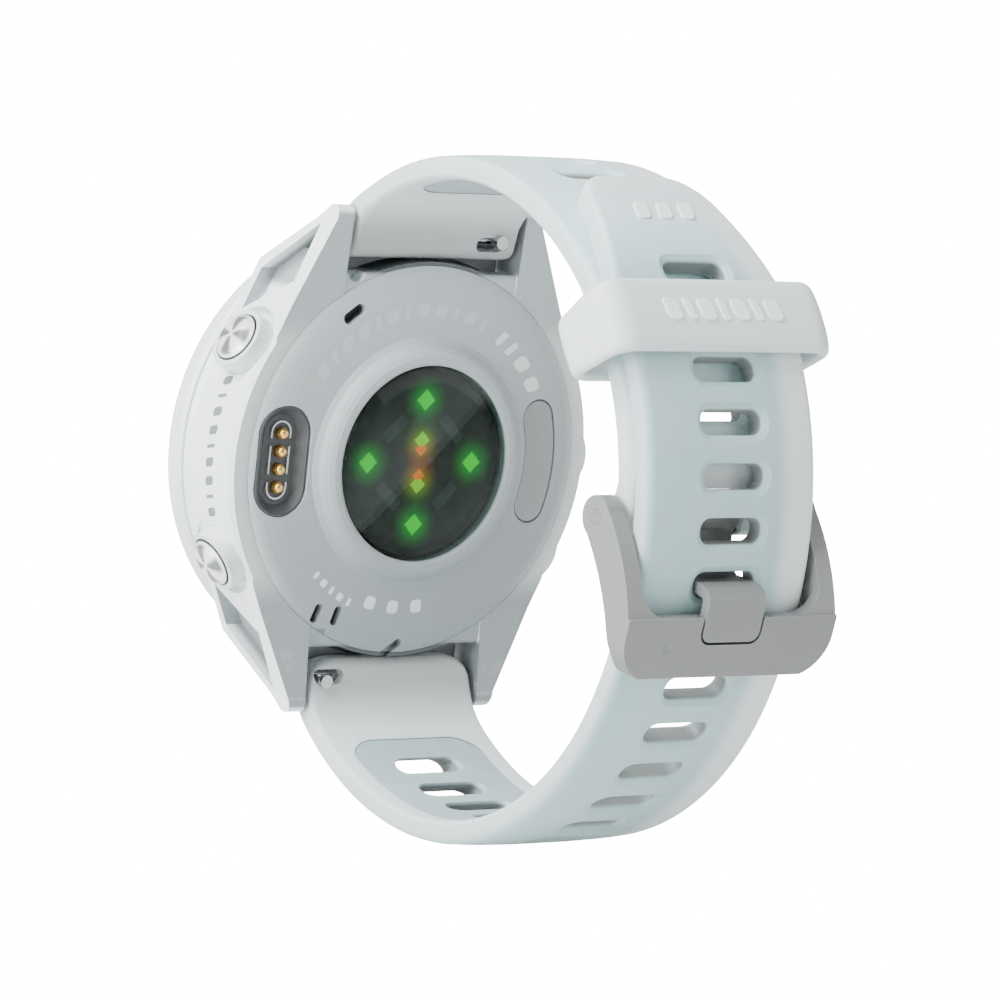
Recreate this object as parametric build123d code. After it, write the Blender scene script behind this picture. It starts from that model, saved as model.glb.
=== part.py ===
from build123d import *
import math
import os

# Running watch with a buckled two-piece silicone strap.
# +X is the 3 o'clock side, +Z is 12 o'clock, and +Y points from the display to the wrist.
# The sizes below are taken from the centre of the case, in millimetres. The finished parts are
# written with their origin at the centre of the glass's front face, on the case's round axis.

# Case stack, along Y
GLASS_FRONT = -6.75
BEZEL_FRONT = -6.6
BEZEL_BACK = -3.9
CASE_BACK = 4.6
COVER_SEAT = 3.9
LENS_TOP = 7.3

# Case radii
BEZEL_RADIUS = 21.6
RAIL_RADIUS = 21.15
WALL_RADIUS = 20.6
CAVITY_RADIUS = 18.2
COVER_RADIUS = 19.15
GAP_WALL_RADIUS = 19.55
GAP_WALL_Z = 18.4
GAP_FLOOR = 0.4
LENS_RADIUS = 9.65
RING_RADIUS = 11.85
GLASS_RADIUS = 19.2
GASKET_OUTER = 18.95
GASKET_INNER = 18.4
FIT = 0.05

# Lugs and spring bars
LUG_GAP = 20.4
LUG_TIP = 25.4
BAR_Y = 2.9
BAR_Z = 21.7
BAR_RADIUS = 0.9
PIN_RADIUS = 0.45
STRAP_END_RADIUS = 2.05
PLUNGER_TRAVEL = 1.5
KNOB_X = {"upper": -7.3, "lower": 8.2}

# Buttons: angle about the case axis from +X towards +Z
BUTTON_ANGLES = {"start": 30.5, "back": -29.0, "light": 149.5, "up": 180.0, "down": 209.0}
BUTTON_Y = 0.3
CAP_RADIUS = 2.45
CAP_OUTER = 22.95
CAP_INNER = 21.4
COLLAR_OUTER = 22.15
COLLAR_RADIUS = 3.1
STEM_RADIUS = 1.0
STEM_END = 17.5
SCOOP_RADIUS = 4.0

# Strap loop: outer faces are tangent arcs in the YZ plane
STRAP_WIDTH = 20.0
TAIL_WIDTH = 19.6
UNDER_THICKNESS = 2.4
TAIL_THICKNESS = 2.5
LAYER_GAP = 0.15
LOOP_CENTRE = (22.3, 2.1)
UNDER_RADIUS = 30.0
TAIL_RADIUS = UNDER_RADIUS + LAYER_GAP + TAIL_THICKNESS
HEEL_RADIUS = 40.1
BELLY_RADIUS = 31.2
TAIL_TIP_ANGLE = 68.7
TIP_HALF_WIDTH = 6.4
TAPER_LENGTH = 15.0
HEEL_START = 3.6
BELLY_START = -23.3
LOWER_END = -127.0
UPPER_END = 121.8
SLOT_PITCH = 5.0
LOWER_PITCH = 5.25
SLOT_LENGTH = 7.0
SLOT_HEIGHT = 2.4
TAIL_SLOTS_ABOVE = 6
TAIL_SLOTS_BELOW = 12
UNDER_SLOT_ANGLES = (22.0, 79.3, 88.9, 98.4, 108.0)
INLAY_DEPTH = 0.6
INLAY_WIDTH = 14.6

# Charging port and interior
PORT_X = 15.6
CONTACT_RADIUS = 0.55
CONTACT_PITCH = 1.76
CONTACT_Z = tuple((place - 1.5) * CONTACT_PITCH for place in range(4))
SCREW_PLACES = ((9.5, 11.0), (-5.0, 14.0), (9.5, -11.0), (-9.5, -11.0))
CLIP_GROOVE_RADIUS = 0.75
EMITTER_RADIUS = 6.2

# Buckle
PIN_Y = 50.0
PIN_Z = 3.2
BUCKLE_PIN_RADIUS = 0.7
BARREL_RADIUS = 1.9
BUCKLE_WIDTH = 24.0
ARM_THICKNESS = 1.8
BAR_GAP = 0.25
BAR_THICKNESS = 1.9
BAR_TOP_ANGLE = -8.9
BAR_BOTTOM_ANGLE = -16.9
PRONG_WIDTH = 6.5
PRONG_THICKNESS = 1.0
PRONG_SLOT_ANGLE = -5.65
NOTCH_DEPTH = 1.25
BAR_DIMPLE_Y = 56.9
NOTCH_BOTTOM_ANGLE = -12.5

# Keeper
KEEPER_ANGLE = 35.7
KEEPER_LENGTH = 6.6
KEEPER_WALL = 1.35
KEEPER_HALF_WIDTH = 13.0
KEEPER_INNER_RADIUS = 26.1
KEEPER_OUTER_RADIUS = TAIL_RADIUS + 0.2

os.makedirs("parts", exist_ok=True)


def save(name, shape):
    """Write one sub-part as parts/NAME.step."""
    solids = [Pos(0, -GLASS_FRONT, 0) * solid for solid in shape.solids()]
    placed = Compound(children=solids) if len(solids) > 1 else solids[0]
    placed.label = name
    export_step(placed, f"parts/{name}.step")


def polar(centre, radius, degrees):
    """Point (y, z) at an angle about a centre in the YZ plane."""
    angle = math.radians(degrees)
    return (centre[0] + radius * math.cos(angle), centre[1] + radius * math.sin(angle))


def slab(sketch, front, back):
    """An (X, Z) sketch made solid from Y = front to Y = back."""
    plane = Plane(origin=(0, back, 0), x_dir=(1, 0, 0), z_dir=(0, -1, 0))
    return extrude(plane * sketch, amount=back - front)


def turned(*outline):
    """Solid of revolution about the case axis; the outline is (radius, y)."""
    return revolve(make_face(Polyline(*outline, close=True)), Axis.Y)


def ring(outer, inner, front, back):
    """Flat ring about the case axis."""
    return slab(Circle(outer) - Circle(inner), front, back)


def across(face, width):
    """A (Y, Z) face made solid along X, centred on X = 0."""
    return extrude(Plane.YZ * face, amount=width / 2, both=True)


def rod(radius, x_low, x_high, y, z):
    """Round rod along X."""
    return Pos((x_low + x_high) / 2, y, z) * Rot(0, 90, 0) * Cylinder(radius, x_high - x_low)


def radial_rod(radius, inner, outer, degrees, y=BUTTON_Y):
    """Round rod that points away from the case axis."""
    blank = Pos((inner + outer) / 2, y, 0) * Rot(0, 90, 0) * Cylinder(radius, outer - inner)
    return Rot(0, -degrees, 0) * blank


def block(x, y, z, width, depth, height):
    """Box centred on a point, sized along X, Y and Z."""
    return Pos(x, y, z) * Box(width, depth, height)


def sector(centre, inner, outer, start, end):
    """(Y, Z) face between two concentric arcs."""
    size = end - start
    edges = [
        CenterArc(centre, outer, start, size),
        Line(polar(centre, outer, end), polar(centre, inner, end)),
        CenterArc(centre, inner, start, size),
        Line(polar(centre, inner, start), polar(centre, outer, start)),
    ]
    return make_face(edges)


def next_centre(centre, radius, next_radius, degrees):
    """Centre of the arc that carries on tangentially with another radius."""
    return polar(centre, radius - next_radius, degrees)


# ---------------------------------------------------------------- strap path
HEEL_CENTRE = next_centre(LOOP_CENTRE, TAIL_RADIUS, HEEL_RADIUS, HEEL_START)
BELLY_CENTRE = next_centre(HEEL_CENTRE, HEEL_RADIUS, BELLY_RADIUS, BELLY_START)
LONG_ARCS = (
    (LOOP_CENTRE, TAIL_RADIUS, TAIL_TIP_ANGLE, HEEL_START),
    (HEEL_CENTRE, HEEL_RADIUS, HEEL_START, BELLY_START),
    (BELLY_CENTRE, BELLY_RADIUS, BELLY_START, LOWER_END),
)


def along_long_strap(distance):
    """Arc centre and angle at a distance along the outer face from the tail tip."""
    for centre, radius, start, end in LONG_ARCS:
        length = math.radians(start - end) * radius
        if distance <= length:
            return centre, radius, start - math.degrees(distance / radius)
        distance -= length
    return centre, radius, end


def slot_cutter(centre, radius, degrees):
    """Stadium hole through the strap, square to the band at an angle."""
    y, z = polar(centre, radius, degrees)
    plane = Plane(
        origin=(0, y, z),
        x_dir=(1, 0, 0),
        z_dir=(0, math.cos(math.radians(degrees)), math.sin(math.radians(degrees))),
    )
    stadium = SlotOverall(SLOT_LENGTH, SLOT_HEIGHT)
    return extrude(plane * stadium, amount=4, both=True)


def round_end(centre, outer, inner, degrees, lead, side):
    """(Y, Z) edges that run from a band's outer face round a spring bar to its inner face."""
    bar_z = side * BAR_Z
    inner_angle = degrees - side * lead
    front = (BAR_Y - STRAP_END_RADIUS, bar_z)
    back = (BAR_Y + STRAP_END_RADIUS, bar_z)
    tip = (BAR_Y, bar_z - side * STRAP_END_RADIUS)
    outer_run = polar((0, 0), 1, degrees + side * 90)
    inner_run = polar((0, 0), 1, inner_angle - side * 90)
    outer_start = polar(centre, outer, degrees)
    inner_start = polar(centre, inner, inner_angle)
    return [
        Spline(outer_start, front, tangents=(outer_run, (0, -side))),
        ThreePointArc(front, tip, back),
        Spline(back, inner_start, tangents=((0, side), inner_run)),
    ]


def bar_bore(side):
    """Hole for the spring bar tube through a strap end."""
    return rod(BAR_RADIUS + FIT, -STRAP_WIDTH, STRAP_WIDTH, BAR_Y, side * BAR_Z)


def knob_slot(name, side):
    """Slot in the strap's wrist side where the release knob travels."""
    knob = KNOB_X[name]
    inward = -math.copysign(PLUNGER_TRAVEL, knob)
    centre = knob + inward / 2
    return block(centre, BAR_Y + 2.2, side * BAR_Z, 1.7 + PLUNGER_TRAVEL, 4.4, 1.5)


# ---------------------------------------------------------------- case shells
def mid_case():
    """Case ring with four lugs, button bores, lug pockets and the cover seat."""
    wall = turned(
        (CAVITY_RADIUS, BEZEL_BACK),
        (RAIL_RADIUS - 0.1, BEZEL_BACK),
        (WALL_RADIUS + 0.15, -3.2),
        (WALL_RADIUS, -1.0),
        (WALL_RADIUS, 1.8),
        (WALL_RADIUS + 0.25, 2.7),
        (RAIL_RADIUS, 3.1),
        (RAIL_RADIUS, CASE_BACK - 0.45),
        (RAIL_RADIUS - 0.4, CASE_BACK),
        (COVER_RADIUS + FIT, CASE_BACK),
        (COVER_RADIUS + FIT, COVER_SEAT),
        (CAVITY_RADIUS, COVER_SEAT),
    )
    quarter = make_face(
        Polyline(
            (LUG_GAP / 2, 8),
            (LUG_GAP / 2, LUG_TIP),
            (11.4, LUG_TIP),
            (11.9, LUG_TIP - 0.35),
            (12.3, 23.3),
            (17.35, 12.0),
            (17.6, 8),
            close=True,
        )
    )
    half = quarter + mirror(quarter, Plane.YZ)
    plan = half + mirror(half, Plane.XZ)
    pocket_plan = plan - offset(quarter, -1.7) - mirror(offset(quarter, -1.7), Plane.YZ)
    pocket_plan -= mirror(offset(quarter, -1.7) + mirror(offset(quarter, -1.7), Plane.YZ), Plane.XZ)
    side_edges = [
        Line((BEZEL_BACK, 8), (BEZEL_BACK, 18.4)),
        Line((BEZEL_BACK, 18.4), (3.3, 24.4)),
        ThreePointArc((3.3, 24.4), (4.75, 24.75), (5.25, 23.3)),
        Line((5.25, 23.3), (CASE_BACK, 15)),
        Line((CASE_BACK, 15), (CASE_BACK, 8)),
        Line((CASE_BACK, 8), (BEZEL_BACK, 8)),
    ]
    side_profile = make_face(side_edges)
    side_profile += mirror(side_profile, Plane.XZ)
    lugs = slab(plan, BEZEL_BACK, 6) & across(side_profile, 60)
    lugs -= slab(Circle(COVER_RADIUS + FIT), BEZEL_BACK - 1, 7)
    pocket_face = make_face(Polyline((3.0, 22.9), (3.1, 17.2), (-2.9, 13.6), (-2.9, 17.6), close=True))
    pocket_face += mirror(pocket_face, Plane.XZ)
    pockets = slab(pocket_plan, BEZEL_BACK, 6) & across(pocket_face, 60)
    pockets -= block(0, 0, 0, LUG_GAP + 1, 30, 60)
    case = wall + (lugs - pockets)
    kept = Circle(GAP_WALL_RADIUS) + Rectangle(LUG_GAP + 2, 2 * GAP_WALL_Z)
    case -= slab(Rectangle(LUG_GAP, 60) - kept, GAP_FLOOR, 7)
    case -= slab(Pos(8.8, GAP_WALL_Z) * Circle(1.0), 3.0, 7)
    case -= rim_slit()
    for side in (-1, 1):
        for hand in (-1, 1):
            reach = sorted((hand * (LUG_GAP / 2 - 0.5), hand * (LUG_GAP / 2 + 1.3)))
            case -= rod(PIN_RADIUS + FIT, reach[0], reach[1], BAR_Y, side * BAR_Z)
    case -= ring(GASKET_OUTER, GASKET_INNER, COVER_SEAT - 0.4, COVER_SEAT + 0.1)
    for degrees in BUTTON_ANGLES.values():
        case -= radial_rod(SCOOP_RADIUS, 20.35, 26, degrees)
        case -= radial_rod(COLLAR_RADIUS, 20.0, 26, degrees)
        case -= radial_rod(1.5, 18.8, 26, degrees)
        case -= radial_rod(STEM_RADIUS + FIT, 17, 26, degrees)
    return case


def bezel():
    """Metal ring round the display glass, with a ledge that carries the glass."""
    return turned(
        (GLASS_RADIUS + FIT, BEZEL_FRONT),
        (BEZEL_RADIUS - 0.95, BEZEL_FRONT),
        (BEZEL_RADIUS - 0.3, BEZEL_FRONT + 0.3),
        (BEZEL_RADIUS, BEZEL_FRONT + 0.95),
        (BEZEL_RADIUS, BEZEL_BACK - 0.45),
        (BEZEL_RADIUS - 0.3, BEZEL_BACK - 0.05),
        (17.9, BEZEL_BACK - 0.05),
        (17.9, -5.2),
        (GLASS_RADIUS + FIT, -5.2),
    )


def display_glass():
    """Front glass with a small chamfer round its edge."""
    return turned(
        (0, GLASS_FRONT),
        (GLASS_RADIUS - 0.35, GLASS_FRONT),
        (GLASS_RADIUS, GLASS_FRONT + 0.35),
        (GLASS_RADIUS, -5.45),
        (0, -5.45),
    )


def port_cutters():
    """Sound, pressure and drain openings through the back cover."""
    cutters = slab(Pos(9.0, 14.4) * Rot(0, 0, 145) * SlotOverall(2.7, 1.15), 3, 7)
    for x, z in ((7.6, -15.25), (9.8, -15.0)):
        cutters += slab(Pos(x, z) * Rot(0, 0, 102) * SlotOverall(2.0, 0.85), 3, 7)
    return cutters


def rim_slit():
    """Slanted drain slit at the 6 o'clock rim, shared by the case and the cover."""
    return slab(Pos(0.4, -18.7) * Rot(0, 0, 140) * SlotOverall(2.5, 0.9), 4.1, 7)


def charging_port_sketch(length, width):
    """Upright stadium at the charging port, as an (X, Z) sketch."""
    return Pos(PORT_X, 0) * Rot(0, 0, 90) * SlotOverall(length, width)


def label_sketch(half_width):
    """Curved stadium on the 9 o'clock side of the cover, as an (X, Z) sketch."""
    centreline = CenterArc((0, 0), 14.8, 180 - 17, 34)
    inner = 14.8 - half_width
    outer = 14.8 + half_width
    band = make_face(
        [
            CenterArc((0, 0), outer, 163, 34),
            Line(polar((0, 0), outer, 197), polar((0, 0), inner, 197)),
            CenterArc((0, 0), inner, 163, 34),
            Line(polar((0, 0), inner, 163), polar((0, 0), outer, 163)),
        ]
    )
    for share in (0, 1):
        end = centreline @ share
        band += Pos(end.X, end.Y) * Circle(half_width)
    return band


def back_cover():
    """Domed rear cover with the sensor ring, charging recess and port slots."""
    cover = turned(
        (LENS_RADIUS + FIT, 4.1),
        (COVER_RADIUS, COVER_SEAT + 0.05),
        (COVER_RADIUS, CASE_BACK),
        (18.6, 4.84),
        (18.0, 5.02),
        (17.2, 5.18),
        (16.2, 5.31),
        (12.4, 5.5),
        (RING_RADIUS, 5.85),
        (RING_RADIUS - 0.35, 6.3),
        (RING_RADIUS - 0.75, 6.65),
        (RING_RADIUS - 1.2, 6.85),
        (LENS_RADIUS + 0.4, 6.86),
        (LENS_RADIUS + FIT, 6.65),
    )
    cover -= slab(charging_port_sketch(10.9, 5.8), 3, 7)
    cover -= slab(label_sketch(1.9), 5.0, 7)
    cover -= port_cutters()
    cover -= slab(Pos(9.0, -17.0) * RectangleRounded(1.3, 0.9, 0.3), 4.45, 7)
    return cover - rim_slit()


def sensor_lens():
    """Clear dome over the optical sensor."""
    return turned(
        (0, LENS_TOP),
        (5.0, LENS_TOP - 0.12),
        (8.0, LENS_TOP - 0.36),
        (LENS_RADIUS - 0.15, LENS_TOP - 0.6),
        (LENS_RADIUS, LENS_TOP - 0.8),
        (LENS_RADIUS, 4.7),
        (LENS_RADIUS - 0.4, 4.7),
        (LENS_RADIUS - 0.4, 5.95),
        (0, 5.95),
    )



# ---------------------------------------------------------------- rear cover inserts
def charging_housing():
    """Dark cup in the cover that carries the charging contacts."""
    cup = slab(charging_port_sketch(10.8, 5.7), 2.9, 5.15)
    cup -= slab(charging_port_sketch(8.7, 2.9), 4.2, 6)
    mouth = Plane(origin=(0, 5.16, 0), x_dir=(1, 0, 0), z_dir=(0, -1, 0)) * charging_port_sketch(10.4, 5.3)
    cup -= extrude(mouth, amount=0.96, taper=40)
    cup -= ring(25, CAVITY_RADIUS - 0.1, 2, COVER_SEAT + 0.08)
    sockets = [radial_contact(CONTACT_RADIUS + FIT, z, 2, 6) for z in CONTACT_Z]
    return cup - sockets


def radial_contact(radius, z, front, back):
    """Round contact that points along Y."""
    return Pos(PORT_X, (front + back) / 2, z) * Rot(90, 0, 0) * Cylinder(radius, back - front)


def charging_pins():
    """Four stepped gold contacts."""
    pins = []
    for z in CONTACT_Z:
        shaft = radial_contact(CONTACT_RADIUS, z, 2.6, 4.75)
        pins.append(shaft + Pos(PORT_X, 4.75, z) * Sphere(CONTACT_RADIUS * 0.98))
    return Compound(children=pins)


def contact_frame():
    """Slim metal outline round the contact plinth."""
    outline = charging_port_sketch(7.7, 2.3) - charging_port_sketch(7.4, 2.0)
    for z in (-1.76, 1.76):
        outline -= Pos(PORT_X, z) * Rectangle(6, 0.8)
    return slab(outline, 4.2, 4.4)


# ---------------------------------------------------------------- electronics
def main_board():
    """Round circuit board with its screw holes and chips."""
    board = slab(Circle(16.4), -2.7, -1.9)
    for x, z in SCREW_PLACES:
        board -= Pos(x, -2.3, z) * Rot(90, 0, 0) * Cylinder(0.75, 3)
    chips = [(4, 6, 6.5, 6.5), (-4, -7, 5.5, 4), (7, -5, 3.5, 5), (-3, 5, 3, 3), (10, 2, 2.5, 3.5)]
    for x, z, width, height in chips:
        board += block(x, -3.05, z, width, 0.75, height)
    return board


def chassis():
    """Moulded carrier that holds the panel, the board and the antenna."""
    plate = slab(Circle(17.6), -3.85, -3.45) + ring(17.6, 16.7, -3.5, 2.6)
    plate -= slab(Pos(13.5, 0) * Rectangle(3.2, 9), -4, -3)
    plate -= block(PORT_X, 2.5, 0, 3, 3, 8)
    for degrees in BUTTON_ANGLES.values():
        plate -= radial_rod(2.6, 14, 20, degrees)
    for x, z in SCREW_PLACES:
        boss = Pos(x, -3.1, z) * Rot(90, 0, 0) * (Cylinder(1.3, 0.75) - Cylinder(0.5, 2))
        plate += boss
        plate -= Pos(x, -3.6, z) * Rot(90, 0, 0) * Cylinder(0.5, 2)
    return plate


def chassis_screws():
    """Four pan-head screws that hold the board to the carrier."""
    screws = []
    for x, z in SCREW_PLACES:
        shank = Pos(x, -2.75, z) * Rot(90, 0, 0) * Cylinder(0.49, 1.8)
        head = Pos(x, -1.6, z) * Rot(90, 0, 0) * Cylinder(1.1, 0.5)
        slot = block(x, -1.3, z, 1.4, 0.4, 0.25)
        screws.append(shank + head - slot)
    return Compound(children=screws)


def button_switches():
    """Five tactile switches that face the button stems."""
    switches = []
    for degrees in BUTTON_ANGLES.values():
        body = Pos(15.6, BUTTON_Y, 0) * Box(1.6, 3.0, 3.4)
        dome = Pos(16.6, BUTTON_Y, 0) * Rot(0, 90, 0) * Cylinder(0.9, 0.45)
        switches.append(Rot(0, -degrees, 0) * (body + dome))
    return Compound(children=switches)


def gps_antenna():
    """Part-circle antenna strip under the bezel, with two feed tabs."""
    strip = make_face(
        [
            CenterArc((0, 0), 17.85, 40, 280),
            Line(polar((0, 0), 17.85, 320), polar((0, 0), 17.65, 320)),
            CenterArc((0, 0), 17.65, 40, 280),
            Line(polar((0, 0), 17.65, 40), polar((0, 0), 17.85, 40)),
        ]
    )
    return slab(strip, -3.7, -2.4)


def battery():
    """Rounded lithium cell with its tab board."""
    cell = slab(Pos(1.5, 0) * RectangleRounded(13, 18, 2.0), -1.25, 2.2)
    return cell + slab(Pos(1.5, 9.6) * Rectangle(7, 1.4), 0.2, 1.2)


def display_flex():
    """Ribbon from the display panel through the carrier to the board."""
    drop = block(13.5, -3.6, 0, 0.25, 1.8, 7)
    foot = block(12.5, -2.8, 0, 2.2, 0.2, 7)
    return drop + foot


def port_membranes():
    """Vent membranes that sit behind the cover's port openings."""
    round_seal = slab(Pos(9.0, 14.4) * Circle(1.9), 3.6, 3.85)
    wide_seal = slab(Pos(8.7, -15.1) * RectangleRounded(4.8, 3.0, 0.8), 3.6, 3.85)
    beyond = ring(25, CAVITY_RADIUS - 0.1, 3, 5)
    return Compound(children=[round_seal - beyond, wide_seal - beyond])


def light_barrier():
    """Black walls that keep the emitters' light off the photodiodes."""
    wall = ring(4.6, 4.2, 3.9, 5.25) + ring(8.9, 8.5, 3.9, 5.25)
    return wall


def dies(places, size, tall):
    """Square chips on the sensor board, each turned to stand on a corner."""
    chips = []
    for x, z in places:
        chips.append(Pos(x, 3.9 + tall / 2, z) * Rot(0, 45, 0) * Box(size, tall, size))
    return Compound(children=chips)


def photodiodes():
    """Four flat receivers between the emitters."""
    chips = []
    for degrees in (45, 135, 225, 315):
        chips.append(Rot(0, -degrees, 0) * Pos(6.6, 4.2, 0) * Box(2.2, 0.6, 3.0))
    return Compound(children=chips)


# ---------------------------------------------------------------- buttons
def button_cap(degrees):
    """Domed metal cap with its stem and a groove for the clip."""
    outline = [
        (0, CAP_OUTER),
        (1.1, CAP_OUTER - 0.05),
        (1.9, CAP_OUTER - 0.25),
        (CAP_RADIUS, CAP_OUTER - 0.75),
        (CAP_RADIUS, CAP_INNER),
        (STEM_RADIUS, CAP_INNER),
        (STEM_RADIUS, 18.05),
        (CLIP_GROOVE_RADIUS, 18.05),
        (CLIP_GROOVE_RADIUS, 17.8),
        (STEM_RADIUS, 17.8),
        (STEM_RADIUS, STEM_END),
        (0, STEM_END),
    ]
    lathe = revolve(make_face(Polyline(*outline, close=True)), Axis.Y)
    return Rot(0, -degrees, 0) * Pos(0, BUTTON_Y, 0) * Rot(0, 0, -90) * lathe


def button_clip(degrees):
    """Open retaining clip in the stem's groove."""
    clip = Circle(1.6) - Circle(CLIP_GROOVE_RADIUS) - Pos(1.2, 0) * Rectangle(1.6, 1.0)
    blank = Rot(0, 90, 0) * extrude(clip, amount=0.2)
    return Rot(0, -degrees, 0) * Pos(17.83, BUTTON_Y, 0) * blank


def button_collars():
    """Five rings round the button caps."""
    collars = []
    for degrees in BUTTON_ANGLES.values():
        blank = radial_rod(COLLAR_RADIUS - FIT, 20.02, COLLAR_OUTER, degrees)
        blank -= radial_rod(CAP_RADIUS + 0.12, 20.45, 26, degrees)
        collars.append(blank - radial_rod(1.5, 19, 26, degrees))
    return Compound(children=collars)


def button_seals():
    """Five rubber rings round the button stems."""
    seals = []
    for degrees in BUTTON_ANGLES.values():
        blank = radial_rod(1.48, 18.9, 19.9, degrees)
        seals.append(blank - radial_rod(STEM_RADIUS + 0.02, 18, 21, degrees))
    return Compound(children=seals)


# ---------------------------------------------------------------- spring bars
def spring_bar(name, side):
    """Tube, plunger and spring of one quick-release spring bar."""
    hand = math.copysign(1, KNOB_X[name])
    bar_z = side * BAR_Z
    reach = LUG_GAP / 2 - 0.45
    low, high = sorted((-hand * reach, hand * reach))
    tube = rod(BAR_RADIUS, low, high, BAR_Y, bar_z)
    hollow = sorted((-hand * 2.0, hand * (reach + 1)))
    tube -= rod(0.6, hollow[0], hollow[1], BAR_Y, bar_z)
    fixed = sorted((-hand * reach, -hand * (reach + 1.6)))
    tube += rod(PIN_RADIUS, fixed[0], fixed[1], BAR_Y, bar_z)
    inward = KNOB_X[name] - hand * PLUNGER_TRAVEL / 2
    tube -= block(inward, BAR_Y + 1, bar_z, 0.9 + PLUNGER_TRAVEL, 2, 0.75)

    shaft = sorted((hand * 2.9, hand * (reach + 0.2)))
    tip = sorted((hand * reach, hand * (reach + 1.6)))
    plunger = rod(0.55, shaft[0], shaft[1], BAR_Y, bar_z)
    plunger += rod(PIN_RADIUS, tip[0], tip[1], BAR_Y, bar_z)
    stalk = Pos(KNOB_X[name], BAR_Y + 1.2, bar_z) * Rot(90, 0, 0) * Cylinder(0.3, 2.4)
    head = Pos(KNOB_X[name], BAR_Y + 2.45, bar_z) * Rot(90, 0, 0) * Cylinder(0.65, 0.7)
    plunger += stalk + head

    helix = Helix(pitch=0.55, height=4.4, radius=0.42)
    wire_end = Plane(origin=helix @ 0, z_dir=helix % 0) * Circle(0.09)
    coil = Pos(-hand * 1.8, BAR_Y, bar_z) * Rot(0, hand * 90, 0) * sweep(wire_end, helix)
    save(f"{name}_bar_tube", tube)
    save(f"{name}_bar_plunger", plunger)
    save(f"{name}_bar_spring", coil)


# ---------------------------------------------------------------- straps
def long_strap_face():
    """(Y, Z) outline of the long strap, from the tail tip round to the lower spring bar."""
    lead = 6
    arcs = []
    for centre, radius, start, end in LONG_ARCS:
        arcs.append(CenterArc(centre, radius, start, end - start))
        inner_end = end + lead if end == LOWER_END else end
        arcs.append(CenterArc(centre, radius - TAIL_THICKNESS, start, inner_end - start))
    inner = BELLY_RADIUS - TAIL_THICKNESS
    tip_outer = polar(LOOP_CENTRE, TAIL_RADIUS, TAIL_TIP_ANGLE)
    tip_inner = polar(LOOP_CENTRE, TAIL_RADIUS - TAIL_THICKNESS, TAIL_TIP_ANGLE)
    arcs.append(Line(tip_outer, tip_inner))
    return make_face(arcs + round_end(BELLY_CENTRE, BELLY_RADIUS, inner, LOWER_END, lead, -1))


def tail_slots():
    """All adjustment slots of the long strap."""
    tip_to_prong = math.radians(TAIL_TIP_ANGLE - HEEL_START) * TAIL_RADIUS
    tip_to_prong += math.radians(HEEL_START - PRONG_SLOT_ANGLE) * HEEL_RADIUS
    cutters = []
    for step in range(-TAIL_SLOTS_ABOVE, TAIL_SLOTS_BELOW + 1):
        pitch = LOWER_PITCH if step > 0 else SLOT_PITCH
        centre, radius, degrees = along_long_strap(tip_to_prong + step * pitch)
        cutters.append(slot_cutter(centre, radius, degrees))
    return cutters


def long_strap_inlay():
    """Second-colour panel let into the long strap's wrist side."""
    inner = BELLY_RADIUS - TAIL_THICKNESS
    face = sector(BELLY_CENTRE, inner, inner + INLAY_DEPTH, -40, -120.5)
    return across(face, INLAY_WIDTH) - tail_slots()


def tail_taper():
    """What is cut away beside the tail, which narrows to a rounded tip."""
    edge = []
    for share in (0, 0.02, 0.06, 0.12, 0.2, 0.4, 0.6, 0.8, 1):
        reach = share * TAPER_LENGTH
        corner = max(0, 2.4 - reach)
        half = TIP_HALF_WIDTH + (TAIL_WIDTH / 2 - TIP_HALF_WIDTH) * share
        half -= 2.4 - math.sqrt(2.4**2 - corner**2)
        degrees = TAIL_TIP_ANGLE - math.degrees(reach / TAIL_RADIUS)
        edge.append((half, polar(LOOP_CENTRE, TAIL_RADIUS, degrees)[1]))
    edge.append((edge[-1][0] + 0.3, 10))
    outline = [(edge[0][0], 40), *edge]
    kept = make_face(Polyline(*outline, *[(-x, z) for x, z in reversed(outline)], close=True))
    zone = sector(LOOP_CENTRE, UNDER_RADIUS + 0.08, TAIL_RADIUS + 1, degrees, 74)
    return across(zone, 30) - slab(kept, 20, 60)


def long_strap():
    """Long strap with the tail, buckled on the outside of the short strap."""
    body = across(long_strap_face(), TAIL_WIDTH)
    body -= tail_taper()
    body -= tail_slots()
    body -= bar_bore(-1)
    body -= knob_slot("lower", -1)
    inner = BELLY_RADIUS - TAIL_THICKNESS
    pocket = sector(BELLY_CENTRE, inner - 0.5, inner + INLAY_DEPTH, -40, -120.5)
    return body - across(pocket, INLAY_WIDTH)


def under_slots():
    """Slots of the short strap."""
    return [slot_cutter(LOOP_CENTRE, UNDER_RADIUS, degrees) for degrees in UNDER_SLOT_ANGLES]


def buckle_strap_inlay():
    """Second-colour panel let into the short strap's wrist side."""
    inner = UNDER_RADIUS - UNDER_THICKNESS
    face = sector(LOOP_CENTRE, inner, inner + INLAY_DEPTH, 72, 115.5)
    return across(face, INLAY_WIDTH) - under_slots()


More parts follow.
